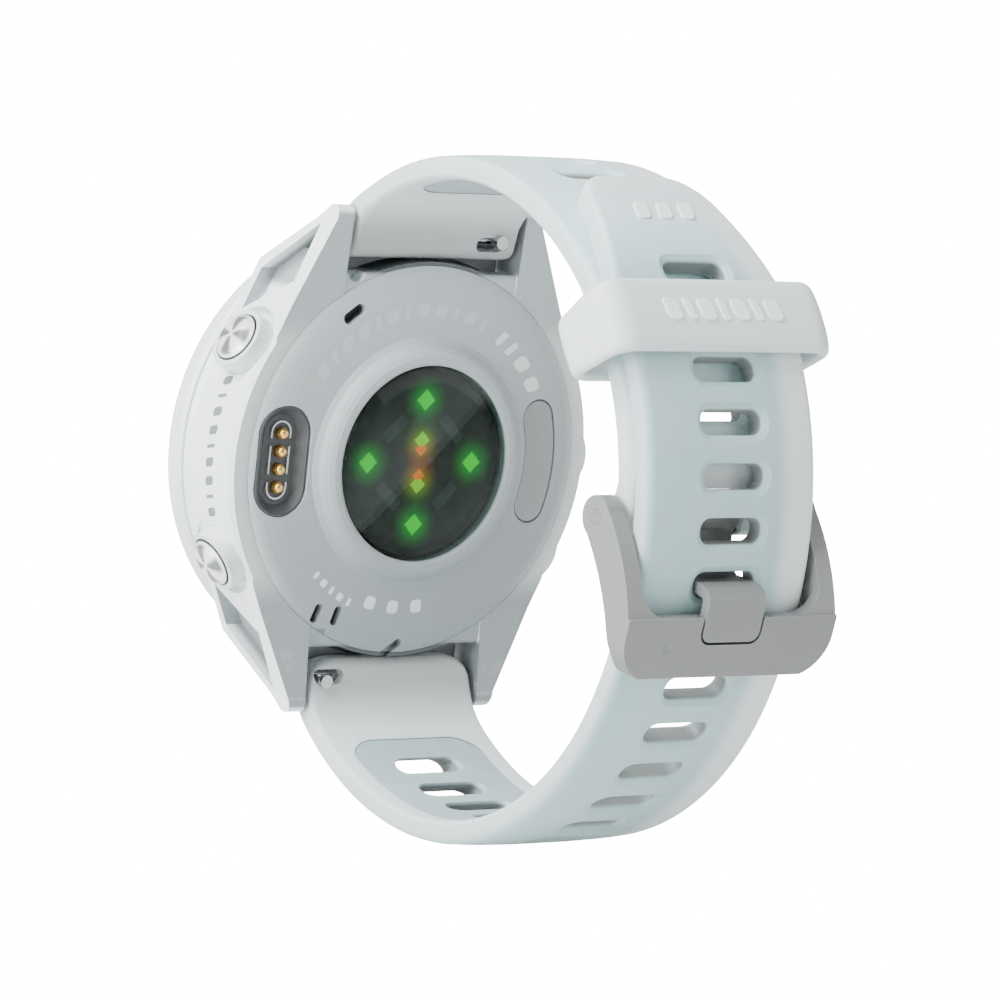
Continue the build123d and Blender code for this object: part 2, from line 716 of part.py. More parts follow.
def buckle_strap():
    """Short strap that carries the buckle and the keeper."""
    inner = UNDER_RADIUS - UNDER_THICKNESS
    heel_angle = 8
    lead = 6
    barrel_inner = (PIN_Y - BARREL_RADIUS, PIN_Z)
    barrel_outer = (PIN_Y + BARREL_RADIUS, PIN_Z)
    edges = [CenterArc(LOOP_CENTRE, UNDER_RADIUS, heel_angle, UPPER_END - heel_angle)]
    edges += round_end(LOOP_CENTRE, UNDER_RADIUS, inner, UPPER_END, lead, 1)
    edges += [
        CenterArc(LOOP_CENTRE, inner, heel_angle, UPPER_END - lead - heel_angle),
        Line(polar(LOOP_CENTRE, inner, heel_angle), barrel_inner),
        ThreePointArc(barrel_inner, (PIN_Y, PIN_Z - BARREL_RADIUS), barrel_outer),
        Line(barrel_outer, polar(LOOP_CENTRE, UNDER_RADIUS, heel_angle)),
    ]
    body = across(make_face(edges), TAIL_WIDTH)
    body -= block(0, PIN_Y, PIN_Z - 0.2, PRONG_WIDTH + 0.7, 8, 5.0)
    body -= rod(BUCKLE_PIN_RADIUS + 0.02, -STRAP_WIDTH, STRAP_WIDTH, PIN_Y, PIN_Z)
    body -= under_slots()
    body -= bar_bore(1)
    body -= knob_slot("upper", 1)
    pocket = sector(LOOP_CENTRE, inner - 0.5, inner + INLAY_DEPTH, 72, 115.5)
    return body - across(pocket, INLAY_WIDTH)


def keeper():
    """Free loop that holds the tail against the short strap."""
    half_angle = math.degrees(KEEPER_LENGTH / 2 / UNDER_RADIUS)
    start = KEEPER_ANGLE - half_angle
    end = KEEPER_ANGLE + half_angle
    outer = sector(
        LOOP_CENTRE,
        KEEPER_INNER_RADIUS - KEEPER_WALL,
        KEEPER_OUTER_RADIUS + KEEPER_WALL,
        start,
        end,
    )
    inner = sector(LOOP_CENTRE, KEEPER_INNER_RADIUS, KEEPER_OUTER_RADIUS, start - 5, end + 5)
    window = across(inner, 2 * (KEEPER_HALF_WIDTH - KEEPER_WALL))
    return across(outer, 2 * KEEPER_HALF_WIDTH) - window


# ---------------------------------------------------------------- buckle
BAR_INNER = HEEL_RADIUS + BAR_GAP
BAR_OUTER = BAR_INNER + BAR_THICKNESS


def rounded_foot(width, bottom, radius):
    """Tall (X, Z) face with rounded lower corners."""
    middle = bottom + 15
    return Pos(0, middle) * RectangleRounded(width, 30, radius)


def buckle_frame():
    """Two arms and a cross bar, turning on the buckle pin."""
    bar_face = sector(HEEL_CENTRE, BAR_INNER, BAR_OUTER, BAR_TOP_ANGLE, BAR_BOTTOM_ANGLE)
    bottom = polar(HEEL_CENTRE, BAR_OUTER, BAR_BOTTOM_ANGLE)[1] - 0.3
    top = polar(HEEL_CENTRE, BAR_OUTER, BAR_TOP_ANGLE)[1]
    eye = Pos(PIN_Y, PIN_Z) * Circle(2.0)
    shoulder = polar((PIN_Y, PIN_Z), 2.0, 25)
    throat = polar((PIN_Y, PIN_Z), 2.0, 205)
    arm_face = make_face(
        [
            Line(throat, shoulder),
            ThreePointArc(shoulder, (54.9, -0.6), polar(HEEL_CENTRE, BAR_OUTER, BAR_TOP_ANGLE - 1)),
            Line(
                polar(HEEL_CENTRE, BAR_OUTER, BAR_TOP_ANGLE - 1),
                polar(HEEL_CENTRE, BAR_INNER, BAR_BOTTOM_ANGLE + 2),
            ),
            ThreePointArc(
                polar(HEEL_CENTRE, BAR_INNER, BAR_BOTTOM_ANGLE + 2), (51.7, -2.6), throat
            ),
        ]
    )
    outline = rounded_foot(BUCKLE_WIDTH, bottom, 4.2)
    window = rounded_foot(BUCKLE_WIDTH - 2 * ARM_THICKNESS, top, 2.6)
    web = sector(HEEL_CENTRE, BAR_INNER, BAR_OUTER, BAR_TOP_ANGLE + 4, BAR_TOP_ANGLE) & arm_face
    frame = across(web + bar_face, BUCKLE_WIDTH) & slab(outline - window, 40, 60)
    for hand in (-1, 1):
        x = hand * (BUCKLE_WIDTH - ARM_THICKNESS) / 2
        frame += Pos(x, 0, 0) * across(arm_face + eye, ARM_THICKNESS) & slab(outline, 40, 60)
    frame -= rod(BUCKLE_PIN_RADIUS + FIT, -BUCKLE_WIDTH, BUCKLE_WIDTH, PIN_Y, PIN_Z)
    notch = sector(HEEL_CENTRE, BAR_OUTER - NOTCH_DEPTH, BAR_OUTER + 2, BAR_TOP_ANGLE + 3, -20)
    notch_foot = polar(HEEL_CENTRE, BAR_OUTER, NOTCH_BOTTOM_ANGLE)[1]
    notch_plan = rounded_foot(PRONG_WIDTH + 0.5, notch_foot, 1.2)
    dimple = Pos(BUCKLE_WIDTH / 2 - 5.0, BAR_DIMPLE_Y, (top + bottom) / 2) * Sphere(1.0)
    return frame - (across(notch, 12) & slab(notch_plan, 40, 60)) - dimple


def buckle_prong():
    """Flat tongue that hooks round the pin, through a slot and over the bar."""
    tip_radius = BAR_OUTER - PRONG_THICKNESS / 2
    tip_start = polar(HEEL_CENTRE, tip_radius, -8.6)
    tip_end = NOTCH_BOTTOM_ANGLE + 0.35
    path = [
        (PIN_Y + 0.35, PIN_Z - 1.1),
        (PIN_Y + 0.5, -0.9),
        (PIN_Y + 1.9, -2.35),
        (PIN_Y + 4.7, -2.45),
        polar(HEEL_CENTRE, tip_radius, -6.2),
        tip_start,
    ]
    leg = trace(FilletPolyline(*path, radius=0.8), PRONG_THICKNESS)
    tip = sector(
        HEEL_CENTRE,
        tip_radius - PRONG_THICKNESS / 2,
        tip_radius + PRONG_THICKNESS / 2,
        -8.5,
        tip_end,
    )
    sleeve = Pos(PIN_Y, PIN_Z) * Circle(1.45)
    foot = polar(HEEL_CENTRE, tip_radius + PRONG_THICKNESS / 2, tip_end)[1]
    prong = across(leg + tip + sleeve, PRONG_WIDTH) & slab(rounded_foot(PRONG_WIDTH, foot, 1.0), 40, 60)
    return prong - rod(BUCKLE_PIN_RADIUS + FIT, -STRAP_WIDTH, STRAP_WIDTH, PIN_Y, PIN_Z)


save("mid_case", mid_case())
save("bezel", bezel())
save("display_glass", display_glass())
save("glass_seal", ring(GLASS_RADIUS - 0.1, 18.0, -5.43, -5.22))
save("display_panel", slab(Circle(17.7), -5.4, -4.5))
save("display_flex", display_flex())
save("back_cover", back_cover())
save("cover_gasket", ring(GASKET_OUTER - FIT, GASKET_INNER + FIT, COVER_SEAT - 0.38, COVER_SEAT))
save("sensor_lens", sensor_lens())
save("label_insert", slab(label_sketch(1.85), 5.0, 5.28))
save("charging_housing", charging_housing())
save("charging_pins", charging_pins())
save("contact_frame", contact_frame())

save("chassis", chassis())
save("chassis_screws", chassis_screws())
save("main_board", main_board())
save("battery", battery())
save("gps_antenna", gps_antenna())
save("button_switches", button_switches())
save("vibration_motor", Pos(-8.4, -0.2, 8.0) * Rot(90, 0, 0) * Cylinder(3.0, 2.6))
save("speaker", slab(Pos(1.5, -13.0) * RectangleRounded(11, 5, 1.2), -1.2, 2.4))
save("pressure_sensor", slab(Pos(5.5, 13.0) * RectangleRounded(2.6, 2.6, 0.4), -0.4, 1.2))
save("port_membranes", port_membranes())
save("sensor_board", slab(Circle(9.3), 3.1, 3.9))
save("light_barrier", light_barrier())
outer_emitters = [(EMITTER_RADIUS, 0), (0, EMITTER_RADIUS), (-EMITTER_RADIUS, 0), (0, -EMITTER_RADIUS)]
save("green_emitters", dies(outer_emitters + [(0, 2.6), (0, -2.6)], 1.1, 0.6))
save("red_emitters", dies([(0, 1.1), (0, -1.1)], 0.8, 0.6))
save("photodiodes", photodiodes())

for button, degrees in BUTTON_ANGLES.items():
    save(f"{button}_button", button_cap(degrees))
    save(f"{button}_button_clip", button_clip(degrees))
save("button_collars", button_collars())
save("button_seals", button_seals())

spring_bar("upper", 1)
spring_bar("lower", -1)

save("long_strap", long_strap())
save("long_strap_inlay", long_strap_inlay())
save("buckle_strap", buckle_strap())
save("buckle_strap_inlay", buckle_strap_inlay())
save("keeper", keeper())
save("buckle_frame", buckle_frame())
save("buckle_pin", rod(BUCKLE_PIN_RADIUS, -BUCKLE_WIDTH / 2, BUCKLE_WIDTH / 2, PIN_Y, PIN_Z))
save("buckle_prong", buckle_prong())
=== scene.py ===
import math

import bmesh
import bpy
from mathutils import Matrix, Vector


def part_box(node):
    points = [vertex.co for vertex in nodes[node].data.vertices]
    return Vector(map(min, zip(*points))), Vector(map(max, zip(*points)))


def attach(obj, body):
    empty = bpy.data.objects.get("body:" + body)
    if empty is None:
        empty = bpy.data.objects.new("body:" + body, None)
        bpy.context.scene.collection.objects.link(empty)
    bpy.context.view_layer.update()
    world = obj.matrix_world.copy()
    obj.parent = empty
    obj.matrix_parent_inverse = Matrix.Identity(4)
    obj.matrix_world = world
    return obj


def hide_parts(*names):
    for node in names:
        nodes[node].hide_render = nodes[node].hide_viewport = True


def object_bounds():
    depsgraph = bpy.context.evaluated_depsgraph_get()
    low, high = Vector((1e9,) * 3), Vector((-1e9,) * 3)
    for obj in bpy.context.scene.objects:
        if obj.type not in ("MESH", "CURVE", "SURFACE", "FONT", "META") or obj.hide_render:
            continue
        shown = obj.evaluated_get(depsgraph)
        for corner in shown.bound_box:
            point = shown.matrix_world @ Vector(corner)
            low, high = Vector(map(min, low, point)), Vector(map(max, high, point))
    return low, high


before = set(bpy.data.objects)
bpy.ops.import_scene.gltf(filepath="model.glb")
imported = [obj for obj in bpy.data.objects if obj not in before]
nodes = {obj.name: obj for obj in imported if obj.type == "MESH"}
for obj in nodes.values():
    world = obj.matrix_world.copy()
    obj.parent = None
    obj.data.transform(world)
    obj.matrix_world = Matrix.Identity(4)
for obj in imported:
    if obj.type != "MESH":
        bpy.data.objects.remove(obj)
cad_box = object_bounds()
MM = 0.001
SHIFT_Y = 6.75  # the frame's origin is on the glass front, this far from the case centre

# ------------------------------------------------------------ strap path (millimetres, degrees)
LOOP_CENTRE = (22.3, 2.1)
UNDER_RADIUS = 30.0
UNDER_THICKNESS = 2.4
TAIL_THICKNESS = 2.5
TAIL_RADIUS = 32.65
HEEL_RADIUS = 40.1
BELLY_RADIUS = 31.2
TAIL_TIP_ANGLE = 68.7
HEEL_START = 3.6
BELLY_START = -23.3
LOWER_END = -127.0
UPPER_END = 121.8
HEEL_ANGLE = 8.0
END_LEAD = 6.0
END_CAP = 78
BARREL_CAP = 70
STRAP_WIDTH = 19.6
BAR_Y, BAR_Z = 2.9, 21.7
END_RADIUS = 2.05
PIN_Y, PIN_Z = 50.0, 3.2
BARREL_RADIUS = 1.9
PRONG_ANGLE = -5.65
KNOB_X = {"upper": -7.3, "lower": 8.2}
SLOT_PITCH = 5.0
LOWER_PITCH = 5.25
SLOTS_ABOVE, SLOTS_BELOW = 6, 12
UNDER_SLOT_ANGLES = (22.0, 79.3, 88.9, 98.4, 108.0)
SLOT_HALF_LENGTH = 3.5
SLOT_HALF_HEIGHT = 1.2
TIP_HALF_WIDTH = 6.4
TIP_CORNER = 4.2
TAPER_LENGTH = 15.0
LONG_INLAY_ANGLES = (-40, -125.5)
SHORT_INLAY_ANGLES = (72, 121.5)
INLAY_WIDTH = 15.4
INLAY_DEPTH = 0.6
INLAY_CORNER = 3.4
INLAY_GAP = 0.12
BUCKLE_NOTCH = 3.6


def polar(centre, radius, degrees):
    a = math.radians(degrees)
    return (centre[0] + radius * math.cos(a), centre[1] + radius * math.sin(a))


HEEL_CENTRE = polar(LOOP_CENTRE, TAIL_RADIUS - HEEL_RADIUS, HEEL_START)
BELLY_CENTRE = polar(HEEL_CENTRE, HEEL_RADIUS - BELLY_RADIUS, BELLY_START)
LONG_ARCS = (
    (LOOP_CENTRE, TAIL_RADIUS, TAIL_TIP_ANGLE, HEEL_START),
    (HEEL_CENTRE, HEEL_RADIUS, HEEL_START, BELLY_START),
    (BELLY_CENTRE, BELLY_RADIUS, BELLY_START, LOWER_END),
)


def arc_points(centre, radius, start, end, count):
    return [polar(centre, radius, start + (end - start) * i / count) for i in range(count + 1)]


def hermite(p0, t0, p1, t1, count):
    """Points of a cubic from p0 to p1 with unit end directions t0 and t1."""
    reach = math.dist(p0, p1)
    out = []
    for i in range(count + 1):
        u = i / count
        h = (2 * u**3 - 3 * u**2 + 1, u**3 - 2 * u**2 + u, -2 * u**3 + 3 * u**2, u**3 - u**2)
        parts = ((h[0], p0), (h[1] * reach, t0), (h[2], p1), (h[3] * reach, t1))
        out.append(tuple(sum(share * p[k] for share, p in parts) for k in (0, 1)))
    return out


def stretch(points):
    """Running length along a list of points."""
    out = [0.0]
    for a, b in zip(points, points[1:]):
        out.append(out[-1] + math.dist(a, b))
    return out


def between(a, b, share):
    return tuple(a[k] + (b[k] - a[k]) * share for k in (0, 1))


def resample(points, count):
    """Points spaced evenly along a polyline."""
    length = stretch(points)
    out = []
    at = 0
    for i in range(count + 1):
        want = length[-1] * i / count
        while at < len(points) - 2 and length[at + 1] < want:
            at += 1
        part = (want - length[at]) / max(length[at + 1] - length[at], 1e-9)
        out.append(between(points[at], points[at + 1], part))
    return out


class Rails:
    """A band's outer and inner edges in the YZ plane, read by length along the outer edge."""

    def __init__(self, pieces, thickness):
        self.thickness = thickness
        self.s, self.outer, self.inner = [0.0], [pieces[0][0][0]], [pieces[0][1][0]]
        for outer, inner in pieces:
            steps = stretch(outer)
            base = self.s[-1]
            for i in range(1, len(outer)):
                self.s.append(base + steps[i])
                self.outer.append(outer[i])
                self.inner.append(inner[i])
        self.length = self.s[-1]

    def at(self, s):
        s = min(max(s, 0.0), self.length)
        low, high = 0, len(self.s) - 1
        while high - low > 1:
            mid = (low + high) // 2
            if self.s[mid] <= s:
                low = mid
            else:
                high = mid
        part = (s - self.s[low]) / max(self.s[high] - self.s[low], 1e-9)
        return [between(rail[low], rail[high], part) for rail in (self.outer, self.inner)]

    def place(self, s, x, d):
        """The point at length s, x across the strap and d deep under its outer face."""
        y, z = between(*self.at(s), d / self.thickness)
        return Vector((x * MM, (y + SHIFT_Y) * MM, z * MM))


def end_rails(centre, outer, inner, degrees, side, count=26):
    """The run from a band's end angle round the spring bar to its tip."""
    bar_z = side * BAR_Z
    inner_angle = degrees - side * END_LEAD
    turn = lambda d: polar((0, 0), 1, d)
    front, back = (BAR_Y - END_RADIUS, bar_z), (BAR_Y + END_RADIUS, bar_z)
    over = hermite(polar(centre, outer, degrees), turn(degrees + side * 90), front, (0, -side), 20)
    under = hermite(polar(centre, inner, inner_angle), turn(inner_angle + side * 90), back, (0, -side), 20)
    for i in range(1, 9):
        a = math.radians(END_CAP * i / 8)
        over.append((BAR_Y - END_RADIUS * math.cos(a), bar_z - side * END_RADIUS * math.sin(a)))
        under.append((BAR_Y + END_RADIUS * math.cos(a), bar_z - side * END_RADIUS * math.sin(a)))
    return resample(over, count), resample(under, count)


def long_rails():
    pieces = []
    for centre, radius, start, end in LONG_ARCS:
        count = max(8, int(abs(start - end) * 1.2))
        inner_end = end + END_LEAD if end == LOWER_END else end
        outer = arc_points(centre, radius, start, end, count)
        pieces.append((outer, arc_points(centre, radius - TAIL_THICKNESS, start, inner_end, count)))
    pieces.append(end_rails(BELLY_CENTRE, BELLY_RADIUS, BELLY_RADIUS - TAIL_THICKNESS, LOWER_END, -1))
    return Rails(pieces, TAIL_THICKNESS)


def short_rails():
    inner = UNDER_RADIUS - UNDER_THICKNESS
    over, under = [], []
    for i in range(9):
        a = math.radians(BARREL_CAP - BARREL_CAP * i / 8)
        over.append((PIN_Y + BARREL_RADIUS * math.cos(a), PIN_Z - BARREL_RADIUS * math.sin(a)))
        under.append((PIN_Y - BARREL_RADIUS * math.cos(a), PIN_Z - BARREL_RADIUS * math.sin(a)))
    over.append(polar(LOOP_CENTRE, UNDER_RADIUS, HEEL_ANGLE))
    under.append(polar(LOOP_CENTRE, inner, HEEL_ANGLE))
    count = 130
    band = (
        arc_points(LOOP_CENTRE, UNDER_RADIUS, HEEL_ANGLE, UPPER_END, count),
        arc_points(LOOP_CENTRE, inner, HEEL_ANGLE, UPPER_END - END_LEAD, count),
    )
    end = end_rails(LOOP_CENTRE, UNDER_RADIUS, inner, UPPER_END, 1)
    return Rails([(resample(over, 24), resample(under, 24)), band, end], UNDER_THICKNESS)


LONG = long_rails()
SHORT = short_rails()
HEEL_POINT = polar(LOOP_CENTRE, UNDER_RADIUS, HEEL_ANGLE)
HEEL_LENGTH = next(s for s, p in zip(SHORT.s, SHORT.outer) if p == HEEL_POINT)


def short_s(degrees):
    return HEEL_LENGTH + math.radians(degrees - HEEL_ANGLE) * UNDER_RADIUS


def long_s(arc, degrees):
    """Length from the tail tip to an angle on one of the long strap's arcs."""
    total = 0.0
    for centre, radius, start, end in LONG_ARCS[:arc]:
        total += math.radians(start - end) * radius
    return total + math.radians(LONG_ARCS[arc][2] - degrees) * LONG_ARCS[arc][1]


PRONG_S = long_s(1, PRONG_ANGLE)
SLOT_STEPS = range(-SLOTS_ABOVE, SLOTS_BELOW + 1)
LONG_SLOTS = [PRONG_S + i * (LOWER_PITCH if i > 0 else SLOT_PITCH) for i in SLOT_STEPS]
SHORT_SLOTS = [short_s(a) for a in UNDER_SLOT_ANGLES]
LONG_INLAY = tuple(long_s(2, a) for a in LONG_INLAY_ANGLES)
SHORT_INLAY = tuple(short_s(a) for a in SHORT_INLAY_ANGLES)


# ------------------------------------------------------------ mesh helpers
def link(name, bm, smooth=True):
    mesh = bpy.data.meshes.new(name)
    bm.to_mesh(mesh)
    bm.free()
    obj = bpy.data.objects.new(name, mesh)
    bpy.context.scene.collection.objects.link(obj)
    for p in mesh.polygons:
        p.use_smooth = smooth
    return obj


def add_piece(obj, material, body, replaced=None):
    """Dress a piece and let it move with a body, in place of a CAD solid if one is named."""
    obj.data.materials.clear()
    obj.data.materials.append(material)
    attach(obj, body)
    if replaced:
        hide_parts(replaced)


def loft(bm, rings):
    """A closed solid through rings of points, with flat ends."""
    rings = [[bm.verts.new(p) for p in ring] for ring in rings]
    for a, b in zip(rings, rings[1:]):
        for i in range(len(a)):
            j = (i + 1) % len(a)
            bm.faces.new((a[i], a[j], b[j], b[i]))
    bm.faces.new(list(reversed(rings[0])))
    bm.faces.new(rings[-1])


def lofts(name, solids, smooth=False):
    """One object of several lofted solids."""
    bm = bmesh.new()
    for rings in solids:
        loft(bm, rings)
    bmesh.ops.recalc_face_normals(bm, faces=bm.faces)
    return link(name, bm, smooth)


def rounded_rect(half_s, half_x, corner, inset=0.0, corner_steps=7):
    """Plan outline of a rounded rectangle, as (s, x) about its centre."""
    hs, hx = half_s - inset, half_x - inset
    r = max(min(corner - inset, hs - 1e-4, hx - 1e-4), 0.02)
    out = []
    for qs, qx, start in ((1, 1, 0), (-1, 1, 90), (-1, -1, 180), (1, -1, 270)):
        for i in range(corner_steps + 1):
            a = math.radians(start + 90 * i / corner_steps)
            out.append((qs * (hs - r) + r * math.cos(a), qx * (hx - r) + r * math.sin(a)))
    return out


def stack(centre_s, centre_x, half_s, half_x, corner, layers, steps=7):
    """Rings of a rounded plate. Layers are (depth, inset)."""
    rings = []
    for depth, inset in layers:
        outline = rounded_rect(half_s, half_x, corner, inset, steps)
        rings.append([(centre_s + s, centre_x + x, depth) for s, x in outline])
    return rings


def difference(obj, cutter):
    mod = obj.modifiers.new("cut", "BOOLEAN")
    mod.operation = "DIFFERENCE"
    mod.solver = "EXACT"
    mod.object = cutter
    bpy.context.view_layer.update()
    evaluated = obj.evaluated_get(bpy.context.evaluated_depsgraph_get())
    mesh = bpy.data.meshes.new_from_object(evaluated)
    obj.modifiers.clear()
    old = obj.data
    obj.data = mesh
    bpy.data.meshes.remove(old)
    bpy.data.objects.remove(cutter)


def edge_layers(thickness, outer_round, inner_round, steps=5):
    """(depth, inset) layers of a plate with rounded edges on both faces."""
    turns = [math.radians(90 * i / steps) for i in range(steps + 1)]
    cut = lambda r, a: (r * (1 - math.cos(a)), r * (1 - math.sin(a)))
    first = [cut(outer_round, a) for a in turns]
    last = [cut(inner_round, a) for a in reversed(turns)]
    return first + [(thickness - depth, inset) for depth, inset in last]


def slot_layers(thickness, outer_flare=0.62, inner_flare=0.4):
    """(depth, inset) layers of a slot cutter, flared at both faces."""
    return [
        (-1.0, -outer_flare),
        (0.0, -outer_flare),
        (0.07, -outer_flare * 0.86),
        (0.18, -outer_flare * 0.5),
        (0.26, -outer_flare * 0.2),
        (0.34, -0.04),
        (0.5, 0.0),
        (thickness - 0.45, 0.0),
        (thickness - 0.25, -inner_flare * 0.3),
        (thickness - 0.08, -inner_flare * 0.75),
        (thickness, -inner_flare),
        (thickness + 1.0, -inner_flare),
    ]


def slots_object(places, thickness, **flare):
    layers = slot_layers(thickness, **flare)
    corner = SLOT_HALF_HEIGHT - 0.15
    plan = (0, SLOT_HALF_HEIGHT, SLOT_HALF_LENGTH, corner)
    return lofts("slots", [stack(s, *plan, layers, 6) for s in places])


def slabs_object(boxes):
    """Rounded cutter slabs: (centre s, centre x, half s, half x, corner, low depth, high depth)."""
    return lofts("slabs", [stack(*box[:5], [(box[5], 0), (box[6], 0)], 8) for box in boxes])


def tail_width(s):
    """Share of the full width that the tail has at a distance from its tip."""
    full = STRAP_WIDTH / 2
    share = min(max(s / TAPER_LENGTH, 0.0), 1.0)
    return (TIP_HALF_WIDTH + (full - TIP_HALF_WIDTH) * share) / full


def slice_across(bm, point, normal):
    geometry = bm.verts[:] + bm.edges[:] + bm.faces[:]
    bmesh.ops.bisect_plane(bm, geom=geometry, dist=1e-5, plane_co=point, plane_no=normal)


def bend(obj, rails, crown=0.0, step=1.2, smooth_angle=38, taper=False):
    """Cut a flat plate into short lengths, store its flat coordinates and lay it on the strap's path."""
    bm = bmesh.new()
    bm.from_mesh(obj.data)
    low = min(v.co.x for v in bm.verts)
    high = max(v.co.x for v in bm.verts)
    s = low + step
    while s < high - 0.1:
        slice_across(bm, (s, 0, 0), (1, 0, 0))
        s += step
    for x in (-9.0, -7.8, -6.0, -2.0, 2.0, 6.0, 7.8, 9.0):
        if abs(x) < max(abs(v.co.y) for v in bm.verts):
            slice_across(bm, (0, x, 0), (0, 1, 0))
    bmesh.ops.remove_doubles(bm, verts=bm.verts, dist=1e-4)
    mesh = obj.data
    bm.to_mesh(mesh)
    bm.free()
    flat = [tuple(v.co) for v in mesh.vertices]
    layer = mesh.attributes.new("flat", "FLOAT_VECTOR", "POINT")
    for i, (s, x, d) in enumerate(flat):
        layer.data[i].vector = (s, x, d)
        drop = crown * (abs(x) / (STRAP_WIDTH / 2)) ** 3 * (1 - d / rails.thickness)
        side = x * tail_width(s) if taper and abs(x) > SLOT_HALF_LENGTH + 1 else x
        mesh.vertices[i].co = rails.place(s, side, d + drop)
    mesh.update()
    bm = bmesh.new()
    bm.from_mesh(mesh)
    bmesh.ops.recalc_face_normals(bm, faces=bm.faces)
    bm.to_mesh(mesh)
    bm.free()
    for p in mesh.polygons:
        p.use_smooth = True
    mesh.set_sharp_from_angle(angle=math.radians(smooth_angle))
    obj.modifiers.new("normals", "WEIGHTED_NORMAL").keep_sharp = True
    return obj


# ------------------------------------------------------------ shader arithmetic
class Value:
    """A number, colour or vector in a shader tree. Arithmetic on it adds Math nodes."""

    def __init__(self, tree, socket):
        self.tree = tree
        self.socket = socket

    def math(self, operation, *others, clamp=False):
        return math_node(self.tree, operation, self, *others, clamp=clamp)

    def __add__(self, other):
        return self.math("ADD", other)

    def __sub__(self, other):
        return self.math("SUBTRACT", other)

    def __rsub__(self, other):
        return math_node(self.tree, "SUBTRACT", other, self)

    def __mul__(self, other):
        return self.math("MULTIPLY", other)

    def __abs__(self):
        return self.math("ABSOLUTE")

    def ramp(self, low, high):
        """0 below low, 1 above high, smooth between."""
        n = self.tree.nodes.new("ShaderNodeMapRange")
        n.interpolation_type = "SMOOTHSTEP"
        n.inputs["From Min"].default_value = low
        n.inputs["From Max"].default_value = high
        plug(self, n.inputs["Value"])
        return Value(self.tree, n.outputs["Result"])

    def fall(self, low, high):
        """1 below low, 0 above high, smooth between."""
        return 1.0 - self.ramp(low, high)


def plug(value, socket):
    """Join a value, a colour or a plain number to a socket."""
    if isinstance(value, Value):
        value.tree.links.new(value.socket, socket)
    elif isinstance(value, tuple) and socket.type == "RGBA":
        socket.default_value = (*value, 1)
    else:
        socket.default_value = value


def math_node(tree, operation, *inputs, clamp=False):
    n = tree.nodes.new("ShaderNodeMath")
    n.operation = operation
    n.use_clamp = clamp
    for value, socket in zip(inputs, n.inputs):
        plug(value, socket)
    return Value(tree, n.outputs[0])


def mix_color(tree, factor, a, b, blend="MIX"):
    n = tree.nodes.new("ShaderNodeMix")
    n.data_type = "RGBA"
    n.blend_type = blend
    for value, socket in ((factor, n.inputs[0]), (a, n.inputs[6]), (b, n.inputs[7])):
        plug(value, socket)
    return Value(tree, n.outputs[2])


def hypotenuse(a, b):
    return (a * a + b * b).math("SQRT")


def srgb(*rgb):
    """Linear colour of an sRGB one given in 0 to 255."""
    shares = [v / 255 for v in rgb]
    return tuple(v / 12.92 if v <= 0.04045 else ((v + 0.055) / 1.055) ** 2.4 for v in shares)


# ------------------------------------------------------------ materials
def new_material(name):
    m = bpy.data.materials.new(name)
    m.use_nodes = True
    tree = m.node_tree
    bsdf = next(n for n in tree.nodes if n.type == "BSDF_PRINCIPLED")
    return m, tree, bsdf


def tune(bsdf, **settings):
    """Set inputs of a surface shader, written as coat_weight=0.4 for Coat Weight."""
    for key, value in settings.items():
        bsdf.inputs[key.replace("_", " ").title().replace("Ior", "IOR")].default_value = value


def split(tree, vector):
    n = tree.nodes.new("ShaderNodeSeparateXYZ")
    plug(vector, n.inputs[0])
    return [Value(tree, socket) for socket in n.outputs]


def position(tree, attribute=None):
    """Object coordinates in millimetres, or a stored flat coordinate."""
    if attribute:
        n = tree.nodes.new("ShaderNodeAttribute")
        n.attribute_name = attribute
        out = Value(tree, n.outputs["Vector"])
    else:
        n = tree.nodes.new("ShaderNodeTexCoord")
        scale = tree.nodes.new("ShaderNodeVectorMath")
        scale.operation = "SCALE"
        scale.inputs["Scale"].default_value = 1 / MM
        tree.links.new(n.outputs["Object"], scale.inputs[0])
        out = Value(tree, scale.outputs[0])
    return out, split(tree, out)


def noise(tree, vector, scale, detail=3, rough=0.6):
    n = tree.nodes.new("ShaderNodeTexNoise")
    n.inputs["Scale"].default_value = scale
    n.inputs["Detail"].default_value = detail
    n.inputs["Roughness"].default_value = rough
    plug(vector, n.inputs["Vector"])
    return Value(tree, n.outputs["Fac"])


def surface(tree, bsdf, vector, color, rough, variation=0.04, grain=9.0, bump=0.012, broad=0.35):
    """Base colour, roughness and bump, all carried by two sizes of noise."""
    fine = noise(tree, vector, grain, 4)
    wide = noise(tree, vector, broad, 2)
    value = (fine * 0.5 + wide * 0.5).math("MULTIPLY_ADD", 2 * variation, 1 - variation)
    gray = tree.nodes.new("ShaderNodeCombineColor")
    for i in range(3):
        plug(value, gray.inputs[i])
    shaded = mix_color(tree, 1.0, color, Value(tree, gray.outputs[0]), "MULTIPLY")
    plug(shaded, bsdf.inputs["Base Color"])
    roughness = wide.math("MULTIPLY_ADD", 0.16, rough - 0.08, clamp=True)
    plug(fine.math("MULTIPLY_ADD", 0.06, roughness), bsdf.inputs["Roughness"])
    b = tree.nodes.new("ShaderNodeBump")
    b.inputs["Strength"].default_value = 0.5
    b.inputs["Distance"].default_value = bump * MM
    plug(fine, b.inputs["Height"])
    tree.links.new(b.outputs[0], bsdf.inputs["Normal"])


def plain(name, rgb, rough=0.5, metal=0.0, coat=0.0, **grains):
    m, tree, bsdf = new_material(name)
    vector, _ = position(tree)
    surface(tree, bsdf, vector, srgb(*rgb), rough, **grains)
    tune(bsdf, metallic=metal, coat_weight=coat, coat_roughness=0.12)
    return m


